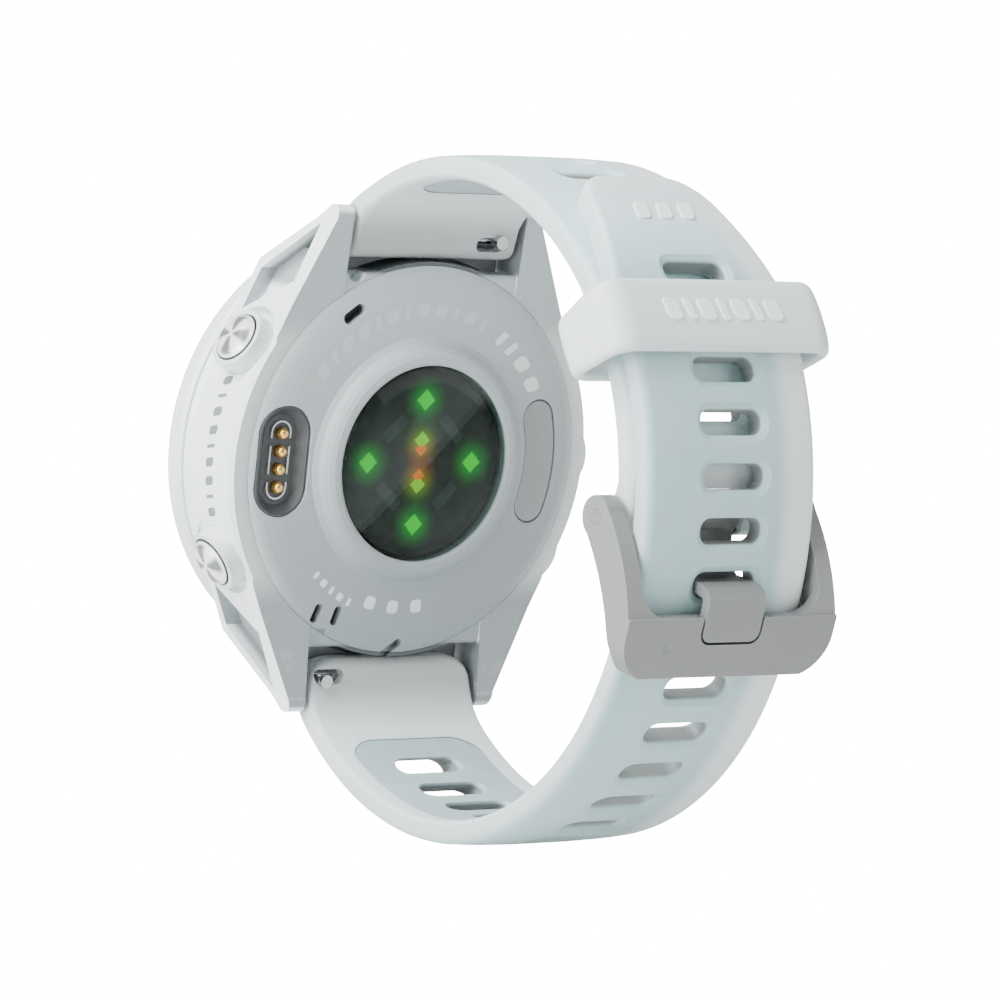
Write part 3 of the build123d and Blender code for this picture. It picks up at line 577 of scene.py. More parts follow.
def edge_lightened(name, rgb, edge_rgb, rough, metal, edge_size=0.12, amount=0.7, **grains):
    """A metal or coated finish that is lighter along its edges, in patches."""
    m, tree, bsdf = new_material(name)
    vector, _ = position(tree)
    bevel = tree.nodes.new("ShaderNodeBevel")
    bevel.inputs["Radius"].default_value = edge_size * MM
    geo = tree.nodes.new("ShaderNodeNewGeometry")
    dot = tree.nodes.new("ShaderNodeVectorMath")
    dot.operation = "DOT_PRODUCT"
    tree.links.new(bevel.outputs[0], dot.inputs[0])
    tree.links.new(geo.outputs["True Normal"], dot.inputs[1])
    turned = math_node(tree, "SUBTRACT", 1.0, Value(tree, dot.outputs["Value"]), clamp=True)
    patch = noise(tree, vector, 1.4, 4)
    edge_patches = patch.math("MULTIPLY_ADD", 1.2, amount - 0.6, clamp=True)
    edge = turned.math("MULTIPLY", 3.0, clamp=True) * edge_patches
    color = mix_color(tree, edge, srgb(*rgb), srgb(*edge_rgb))
    surface(tree, bsdf, vector, color, rough, **grains)
    tune(bsdf, metallic=metal)
    return m


# painted shade for the walls inside the strap's slots
SLOT_WALL_SHADE = (128, 135, 135)
# painted shade for the strap ends near the spring bars
LUG_END_SHADE = (148, 153, 153)
# painted shade for the strap's side edges
EDGE_SHADE = (188, 196, 196)
SHELL_WHITE = (220, 228, 228)


def soft_body(bsdf, green_blue):
    """Light that enters silicone and leaves nearby."""
    tune(bsdf, subsurface_weight=0.25, subsurface_scale=0.8 * MM)
    tune(bsdf, subsurface_radius=(1.0, green_blue, green_blue))


def silicone(
    name, core_half, core_soft, near_edge, ends, core, tip,
    shell=SHELL_WHITE, thickness=TAIL_THICKNESS, lug_end=None,
):
    """Pale silicone whose coloured core shows through in the middle of the outer face.

    The core runs from -core_half to near_edge across the strap and between the ends along it.
    With a lug_end the wrist side keeps its shell and gets painted shade towards the lugs.
    """
    m, tree, bsdf = new_material(name)
    flat, (s, x, d) = position(tree, "flat")
    low, high, soft = ends
    mask = x.ramp(-core_half - core_soft, -core_half + core_soft) * x.fall(near_edge - 0.5, near_edge + 0.5)
    mask = mask * (s.ramp(low - soft, low + soft) * s.fall(high - soft, high + soft))
    if lug_end:
        mask = mask * d.fall(thickness - 0.75, thickness - 0.2)
    mask = mask * noise(tree, flat, 0.16, 2).math("MULTIPLY_ADD", 0.35, 0.78, clamp=True)
    core_color = mix_color(tree, s.fall(6.0, 17.0), srgb(*core), srgb(*tip))
    color = mix_color(tree, mask, srgb(*shell), core_color)
    # painted shade on the walls inside the slots
    slot_shade = d.ramp(0.3, 0.7) * d.fall(thickness - 0.5, thickness - 0.25) * abs(x).fall(4.2, 4.6)
    color = mix_color(tree, slot_shade, color, srgb(*SLOT_WALL_SHADE))
    # painted shade on both side edges of the strap
    color = mix_color(tree, abs(x).ramp(9.25, 9.75) * 0.7, color, srgb(*EDGE_SHADE))
    # painted shade on the wrist side towards the spring bar
    if lug_end:
        shade = s.ramp(lug_end - 9.0, lug_end - 2.5) * d.ramp(thickness - 0.9, thickness - 0.3)
        color = mix_color(tree, shade * 0.85, color, srgb(*LUG_END_SHADE))
    surface(tree, bsdf, flat, color, 0.42, variation=0.02, grain=5.0, bump=0.006, broad=0.12)
    soft_body(bsdf, 1.1)
    tune(bsdf, sheen_weight=0.15, specular_ior_level=0.4)
    return m


def dress(name, material, bevel=0.0, segments=2, angle=35):
    """Give a CAD node its material, and soften its edges without touching its mesh."""
    o = nodes[name]
    o.data.materials.clear()
    o.data.materials.append(material)
    if bevel:
        b = o.modifiers.new("edges", "BEVEL")
        b.width = bevel * MM
        b.segments = segments
        b.limit_method = "ANGLE"
        b.angle_limit = math.radians(angle)
        b.harden_normals = False
        o.modifiers.new("normals", "WEIGHTED_NORMAL").keep_sharp = True


# ------------------------------------------------------------ straps
def knob_window(rails, knob_x):
    """Cutter for the slot in which a spring bar's release knob slides."""
    centre_x = knob_x - math.copysign(0.8, knob_x)
    depths = (rails.thickness * 0.42, rails.thickness + 1)
    return (rails.length - 2.55, centre_x, 0.8, 1.75, 0.78, *depths)


def inlay_plan(span, gap=0.0):
    """Centre s, centre x, half s, half x and corner of an inlay, or of its recess."""
    low, high = span
    return ((low + high) / 2, 0, (high - low) / 2 - gap, INLAY_WIDTH / 2 - gap, INLAY_CORNER - gap)


def make_strap(name, rails, corner, outer_round, slots, inlay, cutters, **shape):
    thickness = rails.thickness
    half = rails.length / 2
    bm = bmesh.new()
    loft(bm, stack(half, 0, half, STRAP_WIDTH / 2, corner, edge_layers(thickness, outer_round, 0.6), 9))
    strap = link(name, bm)
    difference(strap, slots_object(slots, thickness))
    recess = (*inlay_plan(inlay), thickness - INLAY_DEPTH, thickness + 1)
    difference(strap, slabs_object([recess, *cutters]))
    return bend(strap, rails, **shape)


def make_inlay(name, rails, span, slots):
    thickness = rails.thickness
    top, bottom = thickness - INLAY_DEPTH + 0.02, thickness - 0.04
    layers = [(top, 0.0), (bottom - 0.12, 0.0), (bottom - 0.04, 0.06), (bottom, 0.16)]
    bm = bmesh.new()
    loft(bm, stack(*inlay_plan(span, INLAY_GAP), layers, 9))
    inlay = link(name, bm)
    inside = [s for s in slots if span[0] - 2 < s < span[1] + 2]
    difference(inlay, slots_object(inside, thickness, inner_flare=0.5))
    return bend(inlay, rails)


long_window = knob_window(LONG, KNOB_X["lower"])
short_window = knob_window(SHORT, KNOB_X["upper"])
buckle_notch = (0, 0, HEEL_LENGTH - 0.2, BUCKLE_NOTCH, 0.6, -1, UNDER_THICKNESS + 1)
long_strap = make_strap(
    "long_strap_body", LONG, TIP_CORNER, 0.95, LONG_SLOTS, LONG_INLAY, [long_window], crown=0.35, taper=True
)
short_strap = make_strap(
    "buckle_strap_body", SHORT, 1.2, 0.8, SHORT_SLOTS, SHORT_INLAY, [buckle_notch, short_window], crown=0.25
)
long_inlay = make_inlay("long_strap_window", LONG, LONG_INLAY, LONG_SLOTS)
short_inlay = make_inlay("buckle_strap_window", SHORT, SHORT_INLAY, SHORT_SLOTS)

long_material = silicone(
    "silicone_long", 6.0, 1.3, 10.4, (2.2, LONG.length - 16, 1.6),
    (160, 189, 191), (198, 222, 224), shell=(213, 223, 223), lug_end=LONG.length,
)
short_material = silicone(
    "silicone_short", 6.6, 1.3, 10.4, (short_s(14), SHORT.length - 9, 4.0),
    (200, 228, 229), (200, 228, 229), thickness=UNDER_THICKNESS, lug_end=SHORT.length,
)
inlay_material = silicone("silicone_inlay", 50, 1, 50, (-100, 1000, 1), (152, 172, 175), (152, 172, 175))
add_piece(long_strap, long_material, "long_strap", "long_strap")
add_piece(short_strap, short_material, "buckle_strap", "buckle_strap")
add_piece(long_inlay, inlay_material, "long_strap", "long_strap_inlay")
add_piece(short_inlay, inlay_material, "buckle_strap", "buckle_strap_inlay")

WING_RADIUS = 19.95
WING_DEPTHS = (BAR_Y - 1.9, BAR_Y - 0.9)
WING_NEAR, WING_FAR = 1.0, 9.5
WING_STEPS = 12


def wing_rings(hand, side):
    outline = []
    for i in range(WING_STEPS + 1):
        x = WING_NEAR + (WING_FAR - WING_NEAR) * i / WING_STEPS
        outline.append((hand * x, side * math.sqrt(WING_RADIUS**2 - x * x)))
    outline += [(hand * WING_FAR, side * BAR_Z), (hand * WING_NEAR, side * BAR_Z)]
    return [[(x * MM, (y + SHIFT_Y) * MM, z * MM) for x, z in outline] for y in WING_DEPTHS]


# Curved lips at the strap ends follow the round case and close the gap beside it. Their dark gray is painted
# shade of that gap.
wing_shade = plain("wing_shade", (104, 110, 112), 0.5, grain=8, bump=0.01)
for body, side in (("long_strap", -1), ("buckle_strap", 1)):
    wings = lofts(f"{body}_wings", [wing_rings(hand, side) for hand in (-1, 1)])
    add_piece(wings, wing_shade, body)


# ------------------------------------------------------------ keeper
KEEPER_ANGLE = 35.7
KEEPER_WIDTH = 13.0
KEEPER_LOW, KEEPER_HIGH = 24.75, 34.2
KEEPER_WALL = 1.35
KEEPER_OUTER_CORNER, KEEPER_INNER_CORNER = 2.7, 1.5
KEEPER_EDGE = (
    (0.0, 1.0), (1.2, 0.99), (2.3, 0.94), (2.85, 0.86), (3.15, 0.72), (3.28, 0.5),
    (3.2, 0.25), (2.95, 0.08), (2.6, 0.0), (1.3, 0.0), (0.0, 0.0),
)


def keeper_point(x, radius, along):
    """Along is the distance from the keeper's middle, measured on the strap's outer face."""
    y, z = polar(LOOP_CENTRE, radius, KEEPER_ANGLE + math.degrees(along / UNDER_RADIUS))
    return Vector((x * MM, (y + SHIFT_Y) * MM, z * MM))


def keeper_outline(inset, corner, steps=8):
    """Rounded rectangle as (x, radius), with points along its straight sides."""
    mid = (KEEPER_LOW + KEEPER_HIGH) / 2
    hx, hr = KEEPER_WIDTH - inset, (KEEPER_HIGH - KEEPER_LOW) / 2 - inset
    corners = ((1, 1, 0), (-1, 1, 90), (-1, -1, 180), (1, -1, 270))
    outline = []
    for index, (qx, qr, start) in enumerate(corners):
        for i in range(steps + 1):
            centre = (qx * (hx - corner), mid + qr * (hr - corner))
            outline.append(polar(centre, corner, start + 90 * i / steps))
        nx, nr, _ = corners[(index + 1) % 4]
        a = outline[-1]
        b = polar((nx * (hx - corner), mid + nr * (hr - corner)), corner, start + 90)
        parts = 12 if qx != nx else 5
        outline += [between(a, b, i / parts) for i in range(1, parts)]
    return outline


def make_keeper():
    section = list(KEEPER_EDGE) + [(-along, t) for along, t in reversed(KEEPER_EDGE[1:-1])]
    outer = keeper_outline(0.0, KEEPER_OUTER_CORNER)
    inner = keeper_outline(KEEPER_WALL, KEEPER_INNER_CORNER)
    bm = bmesh.new()
    rings = []
    for far, near in zip(outer, inner):
        rings.append([bm.verts.new(keeper_point(*between(near, far, t), along)) for along, t in section])
    for i in range(len(rings)):
        a, b = rings[i], rings[(i + 1) % len(rings)]
        for k in range(len(section)):
            n = (k + 1) % len(section)
            bm.faces.new((a[k], a[n], b[n], b[k]))
    bmesh.ops.recalc_face_normals(bm, faces=bm.faces)
    keeper = link("keeper_loop", bm)
    smooth = keeper.modifiers.new("smooth", "SUBSURF")
    smooth.levels = smooth.render_levels = 1
    return keeper


def keeper_finish():
    m, tree, bsdf = new_material("silicone_keeper")
    vector, _ = position(tree)
    color = srgb(211, 221, 221)
    surface(tree, bsdf, vector, color, 0.45, variation=0.02, grain=4.0, bump=0.006, broad=0.15)
    soft_body(bsdf, 1.0)
    return m


add_piece(make_keeper(), keeper_finish(), "keeper", "keeper")


# ------------------------------------------------------------ CAD finishes
# painted light: the cover's gray towards 6 o'clock and towards 12
COVER_SHADED = (142, 150, 153)
COVER_LIT = (166, 175, 178)
# painted highlight on the cover's rim
RIM_HIGHLIGHT = (212, 220, 221)
CASE_WHITE = (234, 242, 243)
# painted shade for the gap between the lugs
LUG_GAP_SHADE = (72, 78, 81)
# painted shade inside the lug pockets
POCKET_SHADE = (136, 142, 144)
# painted shade for the cover's slots and notches
HOLE_SHADE = (62, 67, 69)
RUBBED_WHITE = (238, 240, 240)
POCKET_CORNER = (12.3, 23.3)
POCKET_NORMAL = (0.904, 0.4275)
COVER_TOP = 5.5
SENSOR_RING_RADIUS = 12.4
COVER_DROP = 0.0198
LABEL_RADIUS = 14.8
LABEL_HALF_ANGLE = 17


def object_normal(tree):
    n = tree.nodes.new("ShaderNodeTexCoord")
    return split(tree, Value(tree, n.outputs["Normal"]))


def shell_gray(tree, x, z):
    """The cover's gray with painted light, a little lighter towards 12 o'clock than towards 6."""
    # painted light: lighter towards 12 o'clock, darker towards 6
    height = x.math("MULTIPLY_ADD", 0.25, z).ramp(-16.0, 18.0)
    gray = mix_color(tree, height, srgb(*COVER_SHADED), srgb(*COVER_LIT))
    # painted highlight on the rim at 3 and 9 o'clock
    rim_highlight = hypotenuse(x, z).ramp(17.8, 20.4) * abs(z).fall(10.5, 14.5)
    return mix_color(tree, rim_highlight * 0.75, gray, srgb(*RIM_HIGHLIGHT))


def case_finish():
    """White coat outside, gray where the shell faces the wrist, painted shade between the lugs and inside
    the lug pockets.
    """
    m, tree, bsdf = new_material("case_finish")
    vector, (x, y, z) = position(tree)
    wide, tall, radius = abs(x), abs(z), hypotenuse(x, z)
    facing = object_normal(tree)[1].ramp(0.8, 0.97)
    color = mix_color(tree, facing, srgb(*CASE_WHITE), shell_gray(tree, x, z))
    # painted shade in the gap between the lugs, behind the strap ends
    gap_shade = tall.ramp(18.0, 18.6) * wide.fall(10.15, 10.35)
    color = mix_color(tree, gap_shade, color, srgb(*LUG_GAP_SHADE))
    # painted shade inside the lug pockets
    outward = (wide - POCKET_CORNER[0]) * POCKET_NORMAL[0] + (tall - POCKET_CORNER[1]) * POCKET_NORMAL[1]
    beyond = tall.ramp(13.4, 14.2) * y.fall(SHIFT_Y + 3.1, SHIFT_Y + 3.4) * wide.ramp(10.6, 11.0)
    pocket_shade = outward.fall(-1.5, -0.5) * beyond * radius.ramp(20.9, 21.4)
    color = mix_color(tree, pocket_shade * 0.9, color, srgb(*POCKET_SHADE))
    rub = radius.ramp(21.0, 22.4) * noise(tree, vector, 0.9, 5).ramp(0.5, 0.75)
    color = mix_color(tree, rub * 0.1, color, srgb(*RUBBED_WHITE))
    surface(tree, bsdf, vector, color, 0.4, variation=0.025, grain=14, bump=0.008)
    tune(bsdf, metallic=0.1)
    return m


def cover_finish():
    """The shell's gray, with painted shade below the cover's own domed face, inside its slots and notches.
    """
    m, tree, bsdf = new_material("cover_polymer")
    vector, (x, y, z) = position(tree)
    radius = hypotenuse(x, z)
    past_ring = (radius - SENSOR_RING_RADIUS).math("MAXIMUM", 0.0)
    depth = COVER_TOP + SHIFT_Y - past_ring * past_ring * COVER_DROP - y
    # painted shade wherever the surface lies below the cover's domed face
    hole_shade = depth.ramp(0.4, 0.75) * past_ring.ramp(0.2, 0.4) * radius.fall(19.0, 19.3)
    color = mix_color(tree, hole_shade * 0.9, shell_gray(tree, x, z), srgb(*HOLE_SHADE))
    surface(tree, bsdf, vector, color, 0.42, grain=16, bump=0.007, variation=0.025)
    return m


def label_finish():
    """Glossy gray window with a thin dark border."""
    m, tree, bsdf = new_material("label_gloss")
    vector, (x, _, z) = position(tree)
    tall = abs(z)
    turn = math.radians(LABEL_HALF_ANGLE)
    end_x, end_z = -LABEL_RADIUS * math.cos(turn), LABEL_RADIUS * math.sin(turn)
    beside = abs(hypotenuse(x, z) - LABEL_RADIUS)
    round_end = hypotenuse(x - end_x, tall - end_z)
    reach = mix_color(tree, tall.math("GREATER_THAN", end_z), beside, round_end)
    color = mix_color(tree, reach.ramp(1.66, 1.72), srgb(134, 138, 140), srgb(46, 50, 52))
    surface(tree, bsdf, vector, color, 0.2, variation=0.03)
    tune(bsdf, coat_weight=0.4)
    return m


def spun_metal_glint(name, degrees):
    """Turned metal whose highlights, painted into its colour, spread in wedges from the middle of a button
    cap.
    """
    m, tree, bsdf = new_material(name)
    vector, (x, y, z) = position(tree)
    turn = math.radians(degrees)
    side = z.math("MULTIPLY_ADD", math.cos(turn), x * -math.sin(turn))
    up = y - (0.3 + SHIFT_Y)
    reach = hypotenuse(side, up)
    # painted highlight: bright and dark wedges round the cap's middle
    glint_fan = up.math("ARCTAN2", side).math("MULTIPLY_ADD", 4.0, 0.6).math("COSINE")
    glint_fan = glint_fan.ramp(-0.7, 0.8) * reach.ramp(0.05, 0.5) * reach.fall(2.0, 2.3)
    color = mix_color(tree, glint_fan, srgb(246, 248, 249), srgb(118, 122, 124))
    # painted shade: dark ring round the cap's edge, in its groove
    color = mix_color(tree, reach.ramp(2.3, 2.42), color, srgb(58, 62, 64))
    surface(tree, bsdf, vector, color, 0.3, variation=0.02, grain=7.0, bump=0.003)
    tune(bsdf, metallic=0.35)
    return m


def glowing(name, rgb, strength):
    m, tree, bsdf = new_material(name)
    vector, _ = position(tree)
    surface(tree, bsdf, vector, srgb(*rgb), 0.3)
    tune(bsdf, emission_color=(*srgb(*rgb), 1), emission_strength=strength)
    return m


def glass(name, tint, gloss):
    """Thin clear cover: mostly see-through, with a fresnel reflection."""
    m = bpy.data.materials.new(name)
    m.use_nodes = True
    tree = m.node_tree
    tree.nodes.clear()
    out = tree.nodes.new("ShaderNodeOutputMaterial")
    clear = tree.nodes.new("ShaderNodeBsdfTransparent")
    plug(tint, clear.inputs[0])
    shine = tree.nodes.new("ShaderNodeBsdfGlossy")
    shine.inputs["Roughness"].default_value = 0.04
    fresnel = tree.nodes.new("ShaderNodeFresnel")
    fresnel.inputs["IOR"].default_value = 1.45
    vector, _ = position(tree)
    smudge = noise(tree, vector, 0.3, 3)
    factor = Value(tree, fresnel.outputs[0]) * smudge.math("MULTIPLY_ADD", 0.3, gloss)
    mix = tree.nodes.new("ShaderNodeMixShader")
    plug(factor, mix.inputs[0])
    tree.links.new(clear.outputs[0], mix.inputs[1])
    tree.links.new(shine.outputs[0], mix.inputs[2])
    tree.links.new(mix.outputs[0], out.inputs[0])
    return m


def lens_glass():
    """Dark clear dome; a broad soft painted sheen, given off as light, lies over its half towards 12 and 3
    o'clock.
    """
    m = glass("sensor_glass", (0.62, 0.7, 0.67), 0.12)
    tree = m.node_tree
    _, (x, _, z) = position(tree)
    slope = x + z
    upper = slope.ramp(-0.08, 0.08) * slope.fall(1.0, 15.0)
    lower = slope.fall(-14.0, -3.0) * 0.55
    # painted sheen, given off as light over the lens
    painted_sheen = tree.nodes.new("ShaderNodeEmission")
    plug((0.75, 0.85, 0.82), painted_sheen.inputs[0])
    plug((upper + lower) * 0.026, painted_sheen.inputs[1])
    out = next(n for n in tree.nodes if n.type == "OUTPUT_MATERIAL")
    add = tree.nodes.new("ShaderNodeAddShader")
    tree.links.new(out.inputs[0].links[0].from_socket, add.inputs[0])
    tree.links.new(painted_sheen.outputs[0], add.inputs[1])
    tree.links.new(add.outputs[0], out.inputs[0])
    return m


bezel_coat = edge_lightened(
    "bezel_coat", (228, 235, 236), (240, 242, 242), 0.36, 0.1, grain=14, bump=0.008, variation=0.02
)
steel = edge_lightened("bar_steel", (150, 152, 154), (205, 206, 208), 0.32, 0.9, variation=0.06)
buckle_gray = edge_lightened(
    "buckle_coat", (122, 125, 125), (154, 156, 156), 0.5, 0.15, edge_size=0.18,
    grain=18, bump=0.014, variation=0.05,
)
knob_steel = edge_lightened("knob_steel", (196, 198, 200), (240, 241, 242), 0.14, 1.0, variation=0.04)
collar_coat = plain("collar_coat", (214, 221, 222), 0.4, metal=0.1, grain=12, bump=0.006)
dark = plain("dark_polymer", (52, 55, 57), 0.5, grain=14, bump=0.01, variation=0.08)
black_rubber = plain("black_rubber", (24, 24, 26), 0.75, grain=9, bump=0.02, variation=0.08)
gold = plain("gold_contact", (232, 190, 108), 0.24, metal=0.95, variation=0.05)
silver = plain("silver_line", (205, 207, 209), 0.25, metal=0.8)
board = plain("board", (22, 70, 44), 0.5, variation=0.15, broad=1.2)
foil = plain("foil", (150, 142, 120), 0.4, metal=0.7)
wrap = plain("battery_wrap", (120, 124, 128), 0.45, metal=0.4, broad=0.8)
port_gray = plain("port_gray", (58, 62, 64), 0.4, grain=14, bump=0.008, variation=0.08)

dress("mid_case", case_finish(), 0.12)
dress("bezel", bezel_coat, 0.15)
dress("back_cover", cover_finish())
dress("buckle_frame", buckle_gray, 0.22, 3)
dress("buckle_prong", buckle_gray, 0.2, 3)
dress("buckle_pin", steel, 0.1)
dress("label_insert", label_finish())
dress("charging_housing", port_gray, 0.08)
dress("display_panel", plain("panel_black", (8, 8, 10), 0.15, coat=0.5))
dress("display_glass", glass("front_glass", (0.9, 0.92, 0.93), 1.0))
dress("sensor_lens", lens_glass())
dress("button_collars", collar_coat, 0.1)
dress("green_emitters", glowing("green_chip", (60, 220, 90), 1.0))
dress("red_emitters", glowing("amber_chip", (240, 150, 40), 1.0))
for material, names in (
    (steel, ("upper_bar_tube", "lower_bar_tube", "upper_bar_spring", "lower_bar_spring")),
    (steel, ("chassis_screws", "button_switches", "vibration_motor", "pressure_sensor")),
    (knob_steel, ("upper_bar_plunger", "lower_bar_plunger")),
    (dark, ("chassis", "speaker", "light_barrier", "photodiodes")),
    (black_rubber, ("glass_seal", "cover_gasket", "button_seals")),
    (board, ("main_board", "sensor_board")),
    (foil, ("display_flex", "gps_antenna")),
    (gold, ("charging_pins",)),
    (silver, ("contact_frame",)),
    (wrap, ("battery",)),
    (port_gray, ("port_membranes",)),
):
    for name in names:
        dress(name, material)

BUTTON_DEGREES = {"start": 30.5, "back": -29.0, "light": 149.5, "up": 180.0, "down": 209.0}
for button, degrees in BUTTON_DEGREES.items():
    dress(f"{button}_button", spun_metal_glint(f"{button}_spun", degrees), 0.1)
    dress(f"{button}_button_clip", steel)


# ------------------------------------------------------------ sensor field under the lens
LED = 6.15
GREEN_PLACES = ((LED, 0), (0, LED), (-LED, 0), (0, -LED))
WARM_PLACES = ((0, 2.2), (0, -2.2))
AMBER_PLACES = ((0, 1.3), (0, -1.3))
FIELD_Y = 5.86 + SHIFT_Y
FIELD_RADII = (0.01, 2, 4, 6, 8, 9.2)
FIELD_STEPS = 72
FIELD_THICKNESS = 0.01
CHIP_HEIGHT = 0.02


def ring_point(radius, turn, y):
    """A point on a circle about the case axis; turn is in radians from 3 o'clock."""
    return Vector((radius * math.cos(turn) * MM, y * MM, radius * math.sin(turn) * MM))


def make_field():
    bm = bmesh.new()
    turns = [math.tau * i / FIELD_STEPS for i in range(FIELD_STEPS)]
    rings = [[bm.verts.new(ring_point(r, a, FIELD_Y)) for a in turns] for r in FIELD_RADII]
    for a, b in zip(rings, rings[1:]):
        for i in range(FIELD_STEPS):
            j = (i + 1) % FIELD_STEPS
            bm.faces.new((a[i], a[j], b[j], b[i]))
    bm.faces.new(rings[0])
    thick = bmesh.ops.extrude_face_region(bm, geom=bm.faces[:])
    for v in thick["geom"]:
        if isinstance(v, bmesh.types.BMVert):
            v.co.y -= FIELD_THICKNESS * MM
    bmesh.ops.recalc_face_normals(bm, faces=bm.faces)
    return link("sensor_field", bm)


def field_finish():
    """Near-black board with painted light: a pool of colour round every chip, given off by the board itself.
    """
    m, tree, bsdf = new_material("sensor_field")
    vector, (x, _, z) = position(tree)
    surface(tree, bsdf, vector, srgb(26, 31, 29), 0.6, variation=0.05, broad=0.5, grain=3.0, bump=0.001)
    # painted light: a pool of colour round every chip, given off by the board
    chip_light_pool = None
    for places, reach, color, power in (
        (GREEN_PLACES, 2.9, (0.0, 0.9, 0.06), 0.9),
        (WARM_PLACES, 2.6, (0.25, 0.9, 0.0), 0.7),
        (AMBER_PLACES, 2.6, (0.95, 0.16, 0.0), 0.8),
    ):
        for px, pz in places:
            away = hypotenuse(x - px, z - pz).math("DIVIDE", reach)
            near = math_node(tree, "SUBTRACT", 1.0, away, clamp=True)
            part = mix_color(tree, near.math("POWER", 2.0) * power, (0, 0, 0), color)
            chip_light_pool = part if chip_light_pool is None else mix_color(tree, 1.0, chip_light_pool, part, "ADD")
    plug(chip_light_pool, bsdf.inputs["Emission Color"])
    tune(bsdf, emission_strength=1.0)
    return m


def chip_rings(place, half):
    """A small chip that stands on a corner."""
    rings = []
    top = FIELD_Y + CHIP_HEIGHT
    for y, size in ((FIELD_Y, half), (top - 0.03, half), (top, half * 0.75)):
        corners = (polar(place, size, 90 * i) for i in range(4))
        rings.append([(x * MM, y * MM, z * MM) for x, z in corners])
    return rings


add_piece(make_field(), field_finish(), "head")
for name, places, half, rgb, strength in (
    ("green_windows", GREEN_PLACES, 1.12, (0, 232, 34), 1.05),
    ("warm_windows", WARM_PLACES, 0.95, (150, 225, 10), 1.1),
    ("amber_windows", AMBER_PLACES, 0.75, (255, 120, 20), 1.2),
):
    chips = lofts(name, [chip_rings(place, half) for place in places])
    add_piece(chips, glowing(name, rgb, strength), "head")


# ------------------------------------------------------------ generic marks
COVER_PROFILE = (
    (9.0, 5.5), (12.4, 5.5), (16.2, 5.31), (17.2, 5.18), (18.0, 5.02), (18.6, 4.84), (19.15, 4.6)
)
MARK_RADIUS = 14.9
SIDE_RADIUS = 20.6


def cover_height(radius):
    for (r0, y0), (r1, y1) in zip(COVER_PROFILE, COVER_PROFILE[1:]):
        if radius <= r1:
            return y0 + (y1 - y0) * (radius - r0) / (r1 - r0)
    return COVER_PROFILE[-1][1]


def on_cover(u, v, lift):
    """u runs clockwise along the mark circle, seen from the wrist; v runs outwards."""
    radius = MARK_RADIUS + v
    return ring_point(radius, u / MARK_RADIUS, cover_height(radius) + SHIFT_Y + lift)


def on_side(u, v, lift):
    return ring_point(SIDE_RADIUS + lift, u / SIDE_RADIUS, v + SHIFT_Y)


def on_tail(u, v, lift):
    return LONG.place(v, u, -lift)


def on_keeper(u, v, lift):
    return keeper_point(u, KEEPER_HIGH + lift, v)


def make_pads(name, pads, point, material, body, low=-0.06, high=0.02, slant=0.25):
    """Thin raised strokes. A pad is (u, v, width, height); point(u, v, lift) puts it on the surface."""
    solids = []
    for u, v, width, height in pads:
        rings = []
        for lift, inset in ((low, 0.0), (high * 0.6, 0.0), (high, 0.04)):
            outline = rounded_rect(width / 2, height / 2, min(width, height) * 0.3, inset, 3)
            rings.append([point(u + a + slant * b, v + b, lift) for a, b in outline])
        solids.append(rings)
    add_piece(lofts(name, solids), material, body)


def stroke_row(start, end, v, widths, height):
    """Strokes of the given widths spread evenly from start to end."""
    gap = (abs(end - start) - sum(widths)) / (len(widths) - 1)
    sign = 1 if end > start else -1
    out, at = [], start
    for width in widths:
        out.append((at + sign * width / 2, v, width, height))
        at += sign * (width + gap)
    return out


def cover_row(start, end, v, widths, height):
    """A row on the cover's mark circle, between two angles in degrees."""
    start, end = (math.radians(a) * MARK_RADIUS for a in (start, end))
    return stroke_row(start, end, v, widths, height)


soft_mark = plain("soft_mark", (178, 186, 190), 0.4)
light_mark = plain("light_mark", (214, 219, 221), 0.4)
side_mark = plain("side_mark", (112, 118, 120), 0.4)
strap_mark = plain("strap_mark", (236, 243, 243), 0.45, bump=0.004)
title = cover_row(34, 116, 0, (1.35, 0.55, 1.35, 1.35, 0.55, 1.35, 0.55, 1.35, 1.35, 0.55, 1.35, 0.55), 1.35)
size_row = cover_row(124, 152, 0.1, (0.7, 0.7, 1.5, 1.5), 1.6)
small_row = cover_row(-66, -46, 0.4, (0.4, 0.7, 0.4, 0.7, 0.4), 0.8)
icon_row = cover_row(-99, -72, -0.4, (1.3, 1.3, 1.3), 1.3)
side_row = stroke_row(-6.4, 7.6, 0.0, (0.9, 0.35, 0.9, 0.9, 0.35, 0.9, 0.9, 0.35, 0.9), 1.25)
tip_row = stroke_row(-3.3, 3.3, 6.2, (1.5, 1.5, 1.5), 2.3)
keeper_row = stroke_row(-6.6, 6.6, 0.2, (1.6, 0.8, 1.6, 0.8, 1.6, 0.8, 1.6), 1.9)
make_pads("cover_title_bars", title, on_cover, soft_mark, "head")
make_pads("cover_size_bars", size_row, on_cover, light_mark, "head")
make_pads("cover_small_bars", small_row + icon_row, on_cover, light_mark, "head", slant=0)
make_pads("side_bars", side_row, on_side, side_mark, "head")
make_pads("tail_tip_bars", tip_row, on_tail, strap_mark, "long_strap", -0.2, 0.16)
make_pads("keeper_bars", keeper_row, on_keeper, strap_mark, "keeper", -0.25, 0.12)


# ------------------------------------------------------------ display and photodiodes
DIAL_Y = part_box("display_panel")[0].y / MM - 0.02
DIGIT_RADIUS = 12.2
DIGIT_SIZE = 3.4
DIGIT_DEPTH = 0.008


def on_dial(u, v, lift):
    return Vector((u * MM, (DIAL_Y - lift) * MM, v * MM))


def on_field(u, v, lift):
    return Vector((u * MM, (FIELD_Y + lift) * MM, v * MM))


